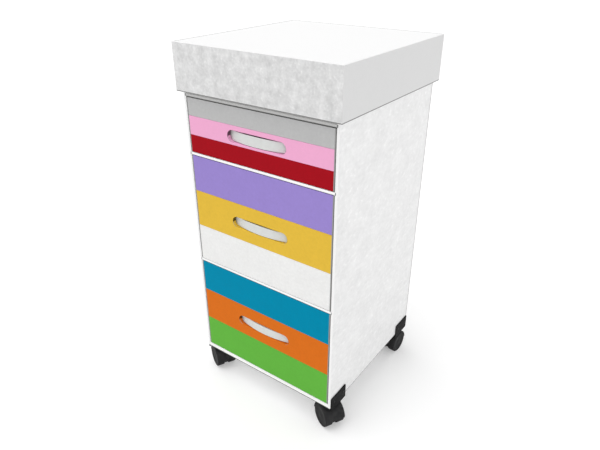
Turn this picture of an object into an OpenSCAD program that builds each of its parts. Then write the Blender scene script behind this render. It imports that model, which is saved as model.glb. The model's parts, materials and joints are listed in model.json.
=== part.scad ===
// Drawer tower on casters: a cabinet of plastic sheet with three striped drawers,
// a top tray under a lift-off lid, and four swivelling twin-wheel casters.
// Millimetres. +Z is up, the front looks towards -Y, and the origin lies on the floor
// under the middle of the cabinet.

/* [Cabinet] */
// Width of the cabinet over its side panels
cabinet_w = 406; // [340:1:460]
// Depth of the cabinet from its front edge to the back of its back panel
cabinet_d = 412; // [340:1:460]
// Height of the cabinet from its underside to the lower edge of the lid
cabinet_h = 717; // [640:1:800]
// Thickness of the side panels
side_t = 6.4; // [5:0.1:9]
// Thickness of the shelves and of the tray deck
shelf_t = 6.4; // [5:0.1:9]
// Thickness of the bottom panel
bottom_t = 12.7; // [10:0.1:16]
// Thickness of the back panel
back_t = 6.4; // [5:0.1:9]
// Depth of the grooves in the side panels that hold the shelves
groove_depth = 2.4; // [1:0.1:3]
// Height of the lower drawer's bay; the three bays share the cabinet's clear height in proportion
lower_bay_h = 271; // [230:1:290]
// Height of the middle drawer's bay
middle_bay_h = 280; // [240:1:300]
// Height of the upper drawer's bay
upper_bay_h = 129.3; // [115:0.1:150]
// Distance of the tray deck's top below the lid's lower edge
deck_below_lid = 4.8; // [2:0.1:10]
// Thickness of the wall across the front of the tray
rail_t = 9.5; // [6:0.1:13]

/* [Lid] */
// Height of the lid over its skirts
lid_h = 104; // [80:1:130]
// Thickness of the lid's sheet
lid_t = 8; // [6:0.1:10]
// Clearance between the lid's skirts and the cabinet
lid_clearance = 2.4; // [1:0.1:4]
// Clearance between the lid's top and the walls that carry it
lid_seat = 0.3; // [0.2:0.05:0.5]

/* [Drawers] */
// Gap above and below each drawer front
front_gap = 1.5; // [1.4:0.1:2.5]
// Gap at each side of a drawer
side_gap = 1.8; // [1:0.1:3]
// Thickness of the coloured planks that face a drawer
plank_t = 9.5; // [8:0.1:11]
// Fine seam between two planks
plank_seam = 0.2; // [0.1:0.05:0.5]
// Height of the upper drawer's top plank
upper_top_h = 41; // [30:1:45]
// Height of the upper drawer's middle plank
upper_middle_h = 44; // [40:1:50]
// Height of the middle drawer's top plank
middle_top_h = 88; // [70:1:100]
// Height of the middle drawer's middle plank
middle_middle_h = 93; // [80:1:110]
// Height of the lower drawer's top plank
lower_top_h = 86; // [70:1:100]
// Height of the lower drawer's middle plank
lower_middle_h = 91; // [80:1:110]
// Thickness of the drawer box's walls
wall_t = 6; // [5:0.1:7]
// Thickness of the drawer's floor
floor_t = 4; // [3:0.1:5]
// Height of the drawer's floor above the lower edge of its walls
floor_rise = 8; // [6:0.5:12]
// Depth of the groove that holds the drawer's floor
floor_groove = 3; // [2:0.1:4]
// Distance of the box walls' top below the top of the planks
wall_drop = 12; // [10:0.5:16]
// Distance of the back wall's top below the top of the planks
back_wall_drop = 3; // [2:0.5:4]

/* [Pulls] */
// Length of the hand slot
slot_w = 157; // [130:1:180]
// Height of the hand slot
slot_h = 27; // [24:0.5:34]
// Height of the bowed pull
pull_h = 21.2; // [16:0.1:22]
// Distance of the slot's middle below the middle of its plank
slot_drop = 2.5; // [0:0.1:4]
// Gap between the pull and the lower edge of the slot
pull_gap = 1.3; // [1:0.1:3]
// Thickness of the pull's strip
pull_t = 4; // [2:0.1:5]
// Distance the pull's crown stands in front of the planks
pull_crown = 0.5; // [0:0.1:3]
// Radius of the pull's bow
pull_bow_r = 216; // [180:1:240]
// Half of the length over which the pull bends
pull_half_span = 92; // [90:1:100]
// Length of the flat tab at each end of the pull
pull_tab = 20; // [16:0.5:26]
// How much longer the slot is in the box wall behind the planks, at each end
slot_relief = 18; // [16:0.5:20]

/* [Stops and glides] */
// Clearance between a drawer and the glide strips under it
glide_clearance = 0.3; // [0.2:0.05:0.5]
// Width of the glide strips
glide_w = 14; // [8:0.5:20]
// Thickness of the rubber bumpers on the back panel
bumper_t = 6; // [4:0.5:10]
// Radius of the bumpers
bumper_r = 6; // [4:0.5:8]
// Distance of the bumpers from a drawer's sides
bumper_inset = 58; // [20:1:120]
// Clearance between a closed drawer and its bumpers
bumper_clearance = 0.3; // [0.2:0.05:0.5]
// Distance of the drawer catches behind the cabinet's front
catch_y = 94; // [70:1:140]
// Thickness of the catches
catch_t = 8; // [6:0.5:12]
// Height of the catches
catch_h = 8; // [6:0.5:11]
// Width of the catches
catch_w = 60; // [40:1:90]

/* [Screws] */
// Radius of a screw's shank
screw_r = 1.5; // [1.2:0.1:1.8]
// Radius of a screw's head
screw_head_r = 3.2; // [2.6:0.1:3.6]
// Height of a screw's head
screw_head_h = 1.8; // [1.2:0.1:2.4]
// Length of the screws in the back panel
back_screw_len = 20; // [14:1:26]
// Distance of the outer screws in the back panel from the cabinet's sides
back_screw_inset = 73; // [20:1:120]
// Length of the screws that hold planks and pulls
front_screw_len = 13; // [12:0.5:14]
// Distance of the planks' screws from a drawer's sides
plank_screw_inset = 39; // [20:1:60]
// Wall left beyond the end of a bracket's screw
screw_end_wall = 2; // [1:0.1:4]

/* [Casters] */
// Height of the cabinet's underside above the floor
caster_h = 75; // [74:1:85]
// Distance of a caster's stem from the outside of the side panel
stem_inset_x = 23.5; // [20:0.5:40]
// Distance of a caster's stem from the cabinet's front or back
stem_inset_y = 31.5; // [30:0.5:45]
// Distance of the wheels' axle from the stem's line
caster_trail = 5; // [4:0.5:9]
// Radius of a wheel
wheel_r = 30.5; // [28:0.5:31]
// Width of a wheel
wheel_w = 19.6; // [15:0.1:22]
// Bevel at the edges of a wheel's tread
wheel_bevel = 2.4; // [0.5:0.1:5]
// Depth of the dish in a wheel's outer face
wheel_dish = 2.8; // [1:0.1:4]
// Width of the rim around a wheel's dish
wheel_rim = 9; // [5:0.5:15]
// Thickness of the web between the two wheels
web_t = 13; // [12:0.1:16]
// Gap between the web and each wheel
web_gap = 0.4; // [0.3:0.05:1]
// How much smaller the web's radius is than the wheels'
web_inset = 3; // [2:0.5:6]
// Thickness of the hood over the wheels
hood_t = 2; // [1.5:0.1:3]
// Gap between the wheels and the hood
hood_gap = 1.2; // [0.6:0.1:2]
// How far the hood's ends stand inside the wheels' outer faces
hood_end = 0.5; // [0:0.1:2]
// Radius of an axle
axle_r = 3; // [2:0.1:3]
// Gap beyond the end of an axle in its wheel and of a stem in its hood
axle_end_gap = 0.3; // [0.1:0.1:1]
// Wall of a wheel beyond the axle's end
axle_end_wall = 3; // [1.5:0.1:4]
// Radius of a stem
stem_r = 4; // [3:0.1:4.5]
// Height of a stem's lower end above the axle
stem_above_axle = 8; // [6:0.5:14]
// Running clearance of the axles and stems
running_clearance = 0.05; // [0.02:0.01:0.1]
// Radius of the swivel head
swivel_r = 14; // [10:0.5:16]
// Clearance between the swivel head and its bracket
swivel_clearance = 0.4; // [0.3:0.05:0.6]
// Width of a caster bracket
bracket_w = 65; // [56:1:66]
// Distance of a bracket's edge from the cabinet's front or back
bracket_edge = 2.5; // [0:0.5:4]
// Thickness of a caster bracket
bracket_t = 3; // [2:0.1:4]
// Height of a bracket's upright leg above the cabinet's underside
bracket_up = 31; // [24:0.5:40]
// Clearance between a hood and the upright leg above it
leg_clearance = 2.3; // [0.5:0.1:4]
// Length of a bracket's level leg under the cabinet
bracket_reach = 60; // [50:1:70]
// Height of the screws in a bracket's upright leg above the cabinet's underside
leg_screw_up = 17; // [8:0.5:22]
// Distance of a bracket's screws from the bracket's edges
bracket_screw_edge = 11; // [7:0.5:16]
// Heading of the front right caster, from +X towards +Y
heading_front_right = -27; // [-180:1:180]
// Heading of the front left caster
heading_front_left = 153; // [-180:1:180]
// Heading of the back right caster
heading_back_right = -94; // [-180:1:180]
// Heading of the back left caster
heading_back_left = 153; // [-180:1:180]

/* [Colours] */
// Colour of the plain plastic sheet
sheet_colour = "#f2f2f2";
// Colour of the pulls
pull_colour = "#d8dadf";
// Colour of the upper drawer's top plank
grey_plank = "#b9b9b9";
// Colour of the upper drawer's middle plank
pink_plank = "#f1aed2";
// Colour of the upper drawer's bottom plank
red_plank = "#a71420";
// Colour of the middle drawer's top plank
purple_plank = "#9b88ce";
// Colour of the middle drawer's middle plank
yellow_plank = "#e4bd45";
// Colour of the middle drawer's bottom plank
white_plank = "#ececeb";
// Colour of the lower drawer's top plank
blue_plank = "#058cae";
// Colour of the lower drawer's middle plank
orange_plank = "#df7020";
// Colour of the lower drawer's bottom plank
green_plank = "#65b548";
// Colour of the casters and brackets
black_colour = "#2c2c2c";
// Colour of the screws and axles
metal_colour = "#9a9da0";
// Colour of the glide strips and bumpers
trim_colour = "#c9c9c4";

/* [Hidden] */

cut = 0.5;            // how far a cut runs past the face it opens
contact = 0.05;       // slack of a panel in its groove

front_y = -cabinet_d / 2;
back_y = cabinet_d / 2;
half_w = cabinet_w / 2;
inner_half_w = half_w - side_t;
base_z = caster_h;
inner_back_y = back_y - back_t;

// Heights of the bays, counted from the floor. A lower or taller cabinet changes all three bays.
lid_z = base_z + cabinet_h;
deck_top_z = lid_z - deck_below_lid;
deck_z = deck_top_z - shelf_t;
lower_bay_z = base_z + bottom_t;
clear_h = deck_z - lower_bay_z - 2 * shelf_t;
bay_fill = clear_h / (lower_bay_h + middle_bay_h + upper_bay_h);
lower_clear_h = lower_bay_h * bay_fill;
middle_clear_h = middle_bay_h * bay_fill;
lower_shelf_z = lower_bay_z + lower_clear_h;
middle_bay_z = lower_shelf_z + shelf_t;
upper_shelf_z = middle_bay_z + middle_clear_h;
upper_bay_z = upper_shelf_z + shelf_t;
upper_clear_h = deck_z - upper_bay_z;
lid_top_z = lid_z + lid_h;
wall_top_z = lid_top_z - lid_t - lid_seat;
lid_half_w = half_w + lid_clearance + lid_t;
lid_half_d = cabinet_d / 2 + lid_clearance + lid_t;

// Drawer sizes that all three share
drawer_half_w = inner_half_w - side_gap;
box_y = front_y + plank_t;
drawer_back_y = inner_back_y - bumper_t - bumper_clearance;
box_inner_y = box_y + wall_t;
glide_t = front_gap - glide_clearance;

// The pull's strip: a wide bow that turns back into flat tabs behind the box wall
pull_depth = plank_t + wall_t + pull_crown;
pull_angle = 2 * atan(pull_depth / pull_half_span);
pull_return_r = pull_half_span / sin(pull_angle) - pull_bow_r;
pull_bow_y = front_y - pull_crown + pull_bow_r;
pull_return_y = box_inner_y - pull_return_r;
tab_screw_x = pull_half_span + pull_tab / 2;

// Caster sizes
axle_z = wheel_r;
hood_inner_r = wheel_r + hood_gap;
hood_outer_r = hood_inner_r + hood_t;
wheel_half_gap = web_t / 2 + web_gap;
hood_w = 2 * (wheel_half_gap + wheel_w - hood_end);
axle_half_len = wheel_half_gap + wheel_w - wheel_dish - axle_end_wall;
bracket_z = base_z - bracket_t;
leg_z = axle_z + hood_outer_r + leg_clearance;
swivel_top_z = bracket_z - swivel_clearance;
stem_bottom_z = axle_z + stem_above_axle;
bracket_mid = bracket_edge + bracket_w / 2 - stem_inset_y;
leg_screw_len = bracket_t + side_t - screw_end_wall;
foot_screw_len = bracket_t + bottom_t - screw_end_wall;
bracket_screw_reach = bracket_w / 2 - bracket_screw_edge;

round_fn = 96;
axle_fn = 64;
small_fn = 32;
bow_steps = 24;

module plate(size_x, size_y, size_z) {
    translate([-size_x / 2, 0, 0]) cube([size_x, size_y, size_z]);
}

// A screw whose head lies on the plane y = 0 and whose shank runs towards -Y
module screw(len) {
    rotate([90, 0, 0]) cylinder(r = screw_r, h = len, $fn = small_fn);
    rotate([-90, 0, 0]) cylinder(r = screw_head_r, h = screw_head_h, $fn = small_fn);
}

module screw_hole(len) {
    rotate([90, 0, 0]) translate([0, 0, -cut])
        cylinder(r = screw_r + contact, h = len + 2 * cut, $fn = small_fn);
}

// ---------------------------------------------------------------- cabinet

shelf_levels = [lower_shelf_z, upper_shelf_z, deck_z];
back_screw_levels = concat([base_z + bottom_t / 2], [for (z = shelf_levels) z + shelf_t / 2]);

module side_panel(side) {
    difference() {
        translate([side > 0 ? inner_half_w : -half_w, front_y, base_z])
            cube([side_t, cabinet_d, wall_top_z - base_z]);
        groove_x = side > 0 ? inner_half_w - cut : -inner_half_w - groove_depth;
        for (z = shelf_levels)
            translate([groove_x, front_y - cut, z - contact])
                cube([groove_depth + cut, cabinet_d - back_t + cut, shelf_t + 2 * contact]);
        bracket_leg_screw_places() screw_hole(leg_screw_len);
    }
}

module shelf_panel(z) {
    half = inner_half_w + groove_depth - contact;
    color(sheet_colour) difference() {
        translate([0, front_y, z]) plate(2 * half, cabinet_d - back_t, shelf_t);
        back_screw_places() screw_hole(back_screw_len);
    }
}

module back_screw_places() {
    reach = half_w - back_screw_inset;
    for (x = [-reach, 0, reach], z = back_screw_levels)
        translate([x, back_y, z]) children();
}

module left_side_panel() {
    color(sheet_colour) side_panel(-1);
}

module right_side_panel() {
    color(sheet_colour) side_panel(1);
}

module back_panel() {
    color(sheet_colour) difference() {
        translate([0, inner_back_y, base_z]) plate(2 * inner_half_w, back_t, wall_top_z - base_z);
        back_screw_places() screw_hole(back_screw_len);
    }
}

module bottom_panel() {
    color(sheet_colour) difference() {
        translate([0, front_y, base_z]) plate(2 * inner_half_w, cabinet_d - back_t, bottom_t);
        back_screw_places() screw_hole(back_screw_len);
        bracket_foot_screw_places() screw_hole(foot_screw_len);
    }
}

module tray_front_wall() {
    color(sheet_colour) translate([0, front_y, deck_top_z])
        plate(2 * inner_half_w, rail_t, wall_top_z - deck_top_z);
}

module glide_strips() {
    color(trim_colour)
        for (z = [lower_bay_z, middle_bay_z, upper_bay_z], side = [-1, 1])
            translate([side * (drawer_half_w - glide_w / 2), box_inner_y, z])
                plate(glide_w, inner_back_y - bumper_t - box_inner_y, glide_t);
}

module rear_bumpers() {
    bays = [[lower_bay_z, lower_clear_h], [middle_bay_z, middle_clear_h], [upper_bay_z, upper_clear_h]];
    color(trim_colour)
        for (bay = bays, side = [-1, 1])
            translate([side * (drawer_half_w - bumper_inset), inner_back_y, bay[0] + bay[1] / 2])
                rotate([90, 0, 0]) cylinder(r = bumper_r, h = bumper_t, $fn = small_fn);
}

// Cleats under the shelves that the drawers' back walls meet when a drawer is fully out
module drawer_catches() {
    color(trim_colour)
        for (z = shelf_levels)
            translate([0, front_y + catch_y, z - catch_h]) plate(catch_w, catch_t, catch_h);
}

module back_screws() {
    color(metal_colour) back_screw_places() screw(back_screw_len);
}

// ---------------------------------------------------------------- lid

module lid_top() {
    color(sheet_colour) translate([0, -lid_half_d, lid_top_z - lid_t])
        plate(2 * lid_half_w, 2 * lid_half_d, lid_t);
}

module lid_end_skirt(y) {
    color(sheet_colour) translate([0, y, lid_z]) plate(2 * lid_half_w, lid_t, lid_h - lid_t);
}

module lid_side_skirt(x) {
    color(sheet_colour) translate([x, -lid_half_d + lid_t, lid_z])
        cube([lid_t, 2 * (lid_half_d - lid_t), lid_h - lid_t]);
}

// ---------------------------------------------------------------- drawers

// A drawer is told by the floor and height of its bay and the heights of its top and middle planks
upper_drawer = [upper_bay_z, upper_clear_h, upper_top_h, upper_middle_h];
middle_drawer = [middle_bay_z, middle_clear_h, middle_top_h, middle_middle_h];
lower_drawer = [lower_bay_z, lower_clear_h, lower_top_h, lower_middle_h];

function drawer_z(d) = d[0] + front_gap;
function drawer_top(d) = d[0] + d[1] - front_gap;
function top_seam(d) = drawer_top(d) - d[2];
function bottom_seam(d) = top_seam(d) - d[3];
function slot_z(d) = (top_seam(d) + bottom_seam(d)) / 2 - slot_drop;
function pull_z(d) = slot_z(d) - slot_h / 2 + pull_gap;

module slot_shape(len) {
    reach = len / 2 - slot_h / 2;
    square([2 * reach, slot_h], center = true);
    for (side = [-1, 1])
        translate([side * reach, 0]) circle(d = slot_h, $fn = round_fn);
}

module slot_cut(d, len, from_y, thickness) {
    translate([0, from_y + thickness + cut, slot_z(d)])
        rotate([90, 0, 0]) linear_extrude(thickness + 2 * cut) slot_shape(len);
}

// Screws driven from inside the box: two into each of the top and bottom planks
module plank_screw_places(d) {
    top_z = (top_seam(d) + drawer_top(d) - wall_drop) / 2;
    bottom_z = (drawer_z(d) + floor_rise + floor_t + bottom_seam(d)) / 2;
    for (side = [-1, 1], z = [top_z, bottom_z])
        translate([side * (drawer_half_w - plank_screw_inset), box_inner_y, z]) children();
}

// Screws through the pull's tabs and the box wall into the middle plank
module pull_screw_places(d) {
    for (side = [-1, 1])
        translate([side * tab_screw_x, box_inner_y + pull_t, pull_z(d) + pull_h / 2]) children();
}

module plank(d, from_z, to_z, colour) {
    color(colour) difference() {
        translate([0, front_y, from_z]) plate(2 * drawer_half_w, plank_t, to_z - from_z);
        plank_screw_places(d) screw_hole(front_screw_len);
        pull_screw_places(d) screw_hole(front_screw_len);
    }
}

module top_plank(d, colour) {
    plank(d, top_seam(d) + plank_seam / 2, drawer_top(d), colour);
}

module middle_plank(d, colour) {
    color(colour) difference() {
        plank(d, bottom_seam(d) + plank_seam / 2, top_seam(d) - plank_seam / 2, colour);
        slot_cut(d, slot_w, front_y, plank_t);
    }
}

module bottom_plank(d, colour) {
    plank(d, drawer_z(d), bottom_seam(d) - plank_seam / 2, colour);
}

module drawer_floor_solid(d, slack) {
    half = drawer_half_w - wall_t + floor_groove - slack;
    from_y = box_inner_y - floor_groove + slack;
    to_y = drawer_back_y - wall_t + floor_groove - slack;
    translate([0, from_y, drawer_z(d) + floor_rise - contact + slack])
        plate(2 * half, to_y - from_y, floor_t + 2 * contact - 2 * slack);
}

module box_front(d) {
    color(sheet_colour) difference() {
        translate([0, box_y, drawer_z(d)])
            plate(2 * drawer_half_w, wall_t, drawer_top(d) - wall_drop - drawer_z(d));
        slot_cut(d, slot_w + 2 * slot_relief, box_y, wall_t);
        plank_screw_places(d) screw_hole(front_screw_len);
        pull_screw_places(d) screw_hole(front_screw_len);
        drawer_floor_solid(d, 0);
    }
}

module drawer_walls(d) {
    side_len = drawer_back_y - wall_t - box_inner_y;
    side_h = drawer_top(d) - wall_drop - drawer_z(d);
    color(sheet_colour) difference() {
        union() {
            for (side = [-1, 1])
                translate([side * (drawer_half_w - wall_t / 2), box_inner_y, drawer_z(d)])
                    plate(wall_t, side_len, side_h);
            translate([0, drawer_back_y - wall_t, drawer_z(d)])
                plate(2 * drawer_half_w, wall_t, drawer_top(d) - back_wall_drop - drawer_z(d));
        }
        drawer_floor_solid(d, 0);
    }
}

module drawer_floor(d) {
    color(sheet_colour) drawer_floor_solid(d, contact);
}

// Points from the strip's middle to its right-hand end: a wide bow, an arc that turns back, and a
// flat tab. depth tells how far behind the strip's front face they lie.
function strip_side(depth) = concat(
    [for (i = [0 : bow_steps])
        let (a = pull_angle * i / bow_steps, r = pull_bow_r - depth)
            [r * sin(a), pull_bow_y - r * cos(a)]],
    [for (i = [bow_steps - 1 : -1 : 0])
        let (a = pull_angle * i / bow_steps, r = pull_return_r + depth)
            [pull_half_span - r * sin(a), pull_return_y + r * cos(a)]],
    [[pull_half_span + pull_tab, box_inner_y + depth]]
);

function backwards(points) = [for (i = [len(points) - 1 : -1 : 0]) points[i]];

function mirrored(points) = [for (i = [1 : len(points) - 1]) [-points[i].x, points[i].y]];

module pull_outline() {
    front_side = strip_side(0);
    back_side = strip_side(pull_t);
    polygon(concat(backwards(mirrored(front_side)), front_side, backwards(back_side), mirrored(back_side)));
}

module pull(d) {
    color(pull_colour) difference() {
        translate([0, 0, pull_z(d)]) linear_extrude(pull_h) pull_outline();
        pull_screw_places(d) screw_hole(front_screw_len);
    }
}

module drawer_screws(d) {
    color(metal_colour) {
        plank_screw_places(d) screw(front_screw_len);
        pull_screw_places(d) screw(front_screw_len);
    }
}

// ---------------------------------------------------------------- casters

// Every caster is drawn at its stem: x_side and y_side say which corner it stands at
module at_stem(x_side, y_side) {
    translate([x_side * (half_w - stem_inset_x), y_side * (cabinet_d / 2 - stem_inset_y), 0]) children();
}

module at_wheels(x_side, y_side, heading) {
    at_stem(x_side, y_side) rotate([0, 0, heading]) translate([caster_trail, 0, axle_z]) children();
}

module each_corner() {
    for (x_side = [-1, 1], y_side = [-1, 1])
        at_stem(x_side, y_side)
            mirror([x_side > 0 ? 0 : 1, 0, 0])
            mirror([0, y_side > 0 ? 1 : 0, 0]) children();
}

// Places of the screws through a bracket's upright leg, as at the front right corner
module bracket_leg_screw_places() {
    each_corner()
        for (side = [-1, 1])
            translate([stem_inset_x + bracket_t,
                       bracket_mid + side * bracket_screw_reach, base_z + leg_screw_up])
                rotate([0, 0, -90]) children();
}

// Places of the screws through a bracket's level leg, driven upwards
module bracket_foot_screw_places() {
    each_corner()
        for (side = [-1, 1])
            translate([stem_inset_x + bracket_t - bracket_reach + bracket_screw_edge,
                       bracket_mid + side * bracket_screw_reach, bracket_z])
                rotate([-90, 0, 0]) children();
}

module caster_brackets() {
    color(black_colour) difference() {
        each_corner() {
            translate([stem_inset_x + bracket_t - bracket_reach, bracket_mid - bracket_w / 2, bracket_z])
                cube([bracket_reach, bracket_w, bracket_t]);
            translate([stem_inset_x, bracket_mid - bracket_w / 2, leg_z])
                cube([bracket_t, bracket_w, base_z + bracket_up - leg_z]);
        }
        each_corner() translate([0, 0, bracket_z - cut])
            cylinder(r = stem_r + contact, h = bracket_t + 2 * cut, $fn = round_fn);
        bracket_leg_screw_places() screw_hole(leg_screw_len);
        bracket_foot_screw_places() screw_hole(foot_screw_len);
    }
}

module bracket_screws() {
    color(black_colour) {
        bracket_leg_screw_places() screw(leg_screw_len);
        bracket_foot_screw_places() screw(foot_screw_len);
    }
}

module caster_stems() {
    color(metal_colour) each_corner() translate([0, 0, stem_bottom_z])
        cylinder(r = stem_r, h = base_z - contact - stem_bottom_z, $fn = round_fn);
}

// The upper half of a cylinder that lies along a caster's axle
module upper_half(r, w) {
    difference() {
        cylinder(r = r, h = w, center = true, $fn = round_fn);
        translate([-r - cut, -r - cut, -w / 2 - cut]) cube([2 * (r + cut), r + cut, w + 2 * cut]);
    }
}

// The hood: a curved cover over the wheels with a swivel head above, and a web between the wheels
module hood(x_side, y_side, heading) {
    color(black_colour) difference() {
        union() {
            difference() {
                union() {
                    at_wheels(x_side, y_side, heading) rotate([90, 0, 0]) upper_half(hood_outer_r, hood_w);
                    at_stem(x_side, y_side) translate([0, 0, axle_z])
                        cylinder(r = swivel_r, h = swivel_top_z - axle_z, $fn = round_fn);
                }
                at_wheels(x_side, y_side, heading) rotate([90, 0, 0])
                    cylinder(r = hood_inner_r, h = hood_w + 2 * cut, center = true, $fn = round_fn);
            }
            at_wheels(x_side, y_side, heading) rotate([90, 0, 0]) {
                cylinder(r = wheel_r - web_inset, h = web_t, center = true, $fn = round_fn);
                upper_half(hood_inner_r + hood_t / 2, web_t);
            }
        }
        at_stem(x_side, y_side) translate([0, 0, stem_bottom_z - axle_end_gap])
            cylinder(r = stem_r + running_clearance, h = base_z, $fn = round_fn);
        at_wheels(x_side, y_side, heading) rotate([90, 0, 0])
            cylinder(r = axle_r + contact, h = web_t + 2 * cut, center = true, $fn = axle_fn);
    }
}

module axle(x_side, y_side, heading) {
    color(metal_colour) at_wheels(x_side, y_side, heading) rotate([90, 0, 0])
        cylinder(r = axle_r, h = 2 * axle_half_len, center = true, $fn = axle_fn);
}

// A wheel with a bevelled tread and a shallow dish in its outer face; end is -1 or 1 along the axle
module wheel(x_side, y_side, heading, end) {
    color(black_colour) at_wheels(x_side, y_side, heading)
        mirror([0, end > 0 ? 0 : 1, 0]) translate([0, wheel_half_gap, 0]) rotate([-90, 0, 0])
            difference() {
                rotate_extrude($fn = round_fn)
                    polygon([[0, 0], [wheel_r - wheel_bevel / 2, 0], [wheel_r, wheel_bevel / 2],
                             [wheel_r, wheel_w - wheel_bevel],
                             [wheel_r - wheel_bevel / 3, wheel_w - wheel_bevel / 3],
                             [wheel_r - wheel_bevel, wheel_w], [0, wheel_w]]);
                translate([0, 0, wheel_w - wheel_dish])
                    cylinder(r = wheel_r - wheel_rim, h = wheel_dish + cut, $fn = round_fn);
                translate([0, 0, -cut])
                    cylinder(r = axle_r + running_clearance,
                             h = axle_half_len - wheel_half_gap + axle_end_gap + cut, $fn = axle_fn);
            }
}

// ---------------------------------------------------------------- nodes

left_side_panel();
right_side_panel();
back_panel();
bottom_panel();
shelf_panel(lower_shelf_z);  // lower_shelf
shelf_panel(upper_shelf_z);  // upper_shelf
shelf_panel(deck_z);  // tray_deck
tray_front_wall();
glide_strips();
rear_bumpers();
drawer_catches();
back_screws();
lid_top();
lid_end_skirt(-lid_half_d);  // lid_front_skirt
lid_end_skirt(lid_half_d - lid_t);  // lid_back_skirt
lid_side_skirt(-lid_half_w);  // lid_left_skirt
lid_side_skirt(lid_half_w - lid_t);  // lid_right_skirt
top_plank(upper_drawer, grey_plank);  // upper_drawer_top_plank
middle_plank(upper_drawer, pink_plank);  // upper_drawer_middle_plank
bottom_plank(upper_drawer, red_plank);  // upper_drawer_bottom_plank
box_front(upper_drawer);  // upper_drawer_box_front
drawer_walls(upper_drawer);  // upper_drawer_walls
drawer_floor(upper_drawer);  // upper_drawer_floor
pull(upper_drawer);  // upper_drawer_pull
drawer_screws(upper_drawer);  // upper_drawer_screws
top_plank(middle_drawer, purple_plank);  // middle_drawer_top_plank
middle_plank(middle_drawer, yellow_plank);  // middle_drawer_middle_plank
bottom_plank(middle_drawer, white_plank);  // middle_drawer_bottom_plank
box_front(middle_drawer);  // middle_drawer_box_front
drawer_walls(middle_drawer);  // middle_drawer_walls
drawer_floor(middle_drawer);  // middle_drawer_floor
pull(middle_drawer);  // middle_drawer_pull
drawer_screws(middle_drawer);  // middle_drawer_screws
top_plank(lower_drawer, blue_plank);  // lower_drawer_top_plank
middle_plank(lower_drawer, orange_plank);  // lower_drawer_middle_plank
bottom_plank(lower_drawer, green_plank);  // lower_drawer_bottom_plank
box_front(lower_drawer);  // lower_drawer_box_front
drawer_walls(lower_drawer);  // lower_drawer_walls
drawer_floor(lower_drawer);  // lower_drawer_floor
pull(lower_drawer);  // lower_drawer_pull
drawer_screws(lower_drawer);  // lower_drawer_screws
caster_brackets();
bracket_screws();
caster_stems();
hood(1, -1, heading_front_right);  // front_right_hood
axle(1, -1, heading_front_right);  // front_right_axle
wheel(1, -1, heading_front_right, 1);  // front_right_outer_wheel
wheel(1, -1, heading_front_right, -1);  // front_right_inner_wheel
hood(-1, -1, heading_front_left);  // front_left_hood
axle(-1, -1, heading_front_left);  // front_left_axle
wheel(-1, -1, heading_front_left, 1);  // front_left_outer_wheel
wheel(-1, -1, heading_front_left, -1);  // front_left_inner_wheel
hood(1, 1, heading_back_right);  // back_right_hood
axle(1, 1, heading_back_right);  // back_right_axle
wheel(1, 1, heading_back_right, 1);  // back_right_outer_wheel
wheel(1, 1, heading_back_right, -1);  // back_right_inner_wheel
hood(-1, 1, heading_back_left);  // back_left_hood
axle(-1, 1, heading_back_left);  // back_left_axle
wheel(-1, 1, heading_back_left, 1);  // back_left_outer_wheel
wheel(-1, 1, heading_back_left, -1);  // back_left_inner_wheel
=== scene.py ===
"""Dresses the drawer tower: sheet plastic cabinet, striped drawers, lift-off lid and twin-wheel casters.

Every piece is made in metres in the frame's own axes, at the place of the CAD node that it stands for.
"""

import json
import logging
import math
from abc import ABC, abstractmethod
from collections.abc import Callable, Sequence
from dataclasses import dataclass, field, replace
from enum import Enum, IntEnum
from typing import ClassVar

import bmesh
import bpy
from mathutils import Matrix, Vector


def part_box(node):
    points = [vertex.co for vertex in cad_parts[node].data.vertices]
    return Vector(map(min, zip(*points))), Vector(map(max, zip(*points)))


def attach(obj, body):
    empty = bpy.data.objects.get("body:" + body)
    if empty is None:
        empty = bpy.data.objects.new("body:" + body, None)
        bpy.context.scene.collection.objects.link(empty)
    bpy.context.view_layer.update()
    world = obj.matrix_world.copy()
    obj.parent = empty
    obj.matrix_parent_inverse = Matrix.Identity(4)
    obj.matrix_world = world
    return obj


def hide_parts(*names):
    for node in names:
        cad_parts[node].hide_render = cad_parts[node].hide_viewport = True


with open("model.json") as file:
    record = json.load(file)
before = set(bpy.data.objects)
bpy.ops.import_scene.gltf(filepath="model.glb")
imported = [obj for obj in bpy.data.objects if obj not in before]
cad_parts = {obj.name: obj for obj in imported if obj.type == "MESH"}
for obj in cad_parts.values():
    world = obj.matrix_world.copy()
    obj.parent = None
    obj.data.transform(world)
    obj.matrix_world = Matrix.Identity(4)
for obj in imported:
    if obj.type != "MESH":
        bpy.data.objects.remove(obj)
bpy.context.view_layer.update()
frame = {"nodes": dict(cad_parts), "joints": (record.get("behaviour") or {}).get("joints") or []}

LOG = logging.getLogger("drawer_tower")
MM = 0.001

Point = tuple[float, float]
Outline = Sequence[Point]
Facing = Callable[[Vector], bool]
Fed = bpy.types.NodeSocket | float | str | tuple[float, ...]
Sockets = dict[str, bpy.types.NodeSocket]


# ------------------------------------------------------------------ choices


class Across(Enum):
    """The axis along which a flat sheet has its thickness."""

    X = 0
    Y = 1
    Z = 2


class SheetSlot(IntEnum):
    """The material slots of a sheet piece."""

    FACE = 0
    EDGE = 1
    # LINE holds painted shade on most pieces.
    LINE = 2
    EXTRA = 3


class LidSlot(IntEnum):
    """The material slots of the lid's shell."""

    TOP = 0
    END = 1
    SIDE = 2
    # Painted shade: the dark band along the outside of the lower rim.
    RIM_LINE = 3
    # Painted shade: the grey band along the top's back and left edges.
    BACK_LINE = 4


class Level(Enum):
    """The three drawers, from the top down."""

    UPPER = "upper"
    MIDDLE = "middle"
    LOWER = "lower"


class Corner(Enum):
    """The four casters."""

    FRONT_RIGHT = "front_right"
    FRONT_LEFT = "front_left"
    BACK_RIGHT = "back_right"
    BACK_LEFT = "back_left"


class Side(Enum):
    """The two wheels of a caster."""

    OUTER = "outer"
    INNER = "inner"


# ------------------------------------------------------------------ node trees


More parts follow.
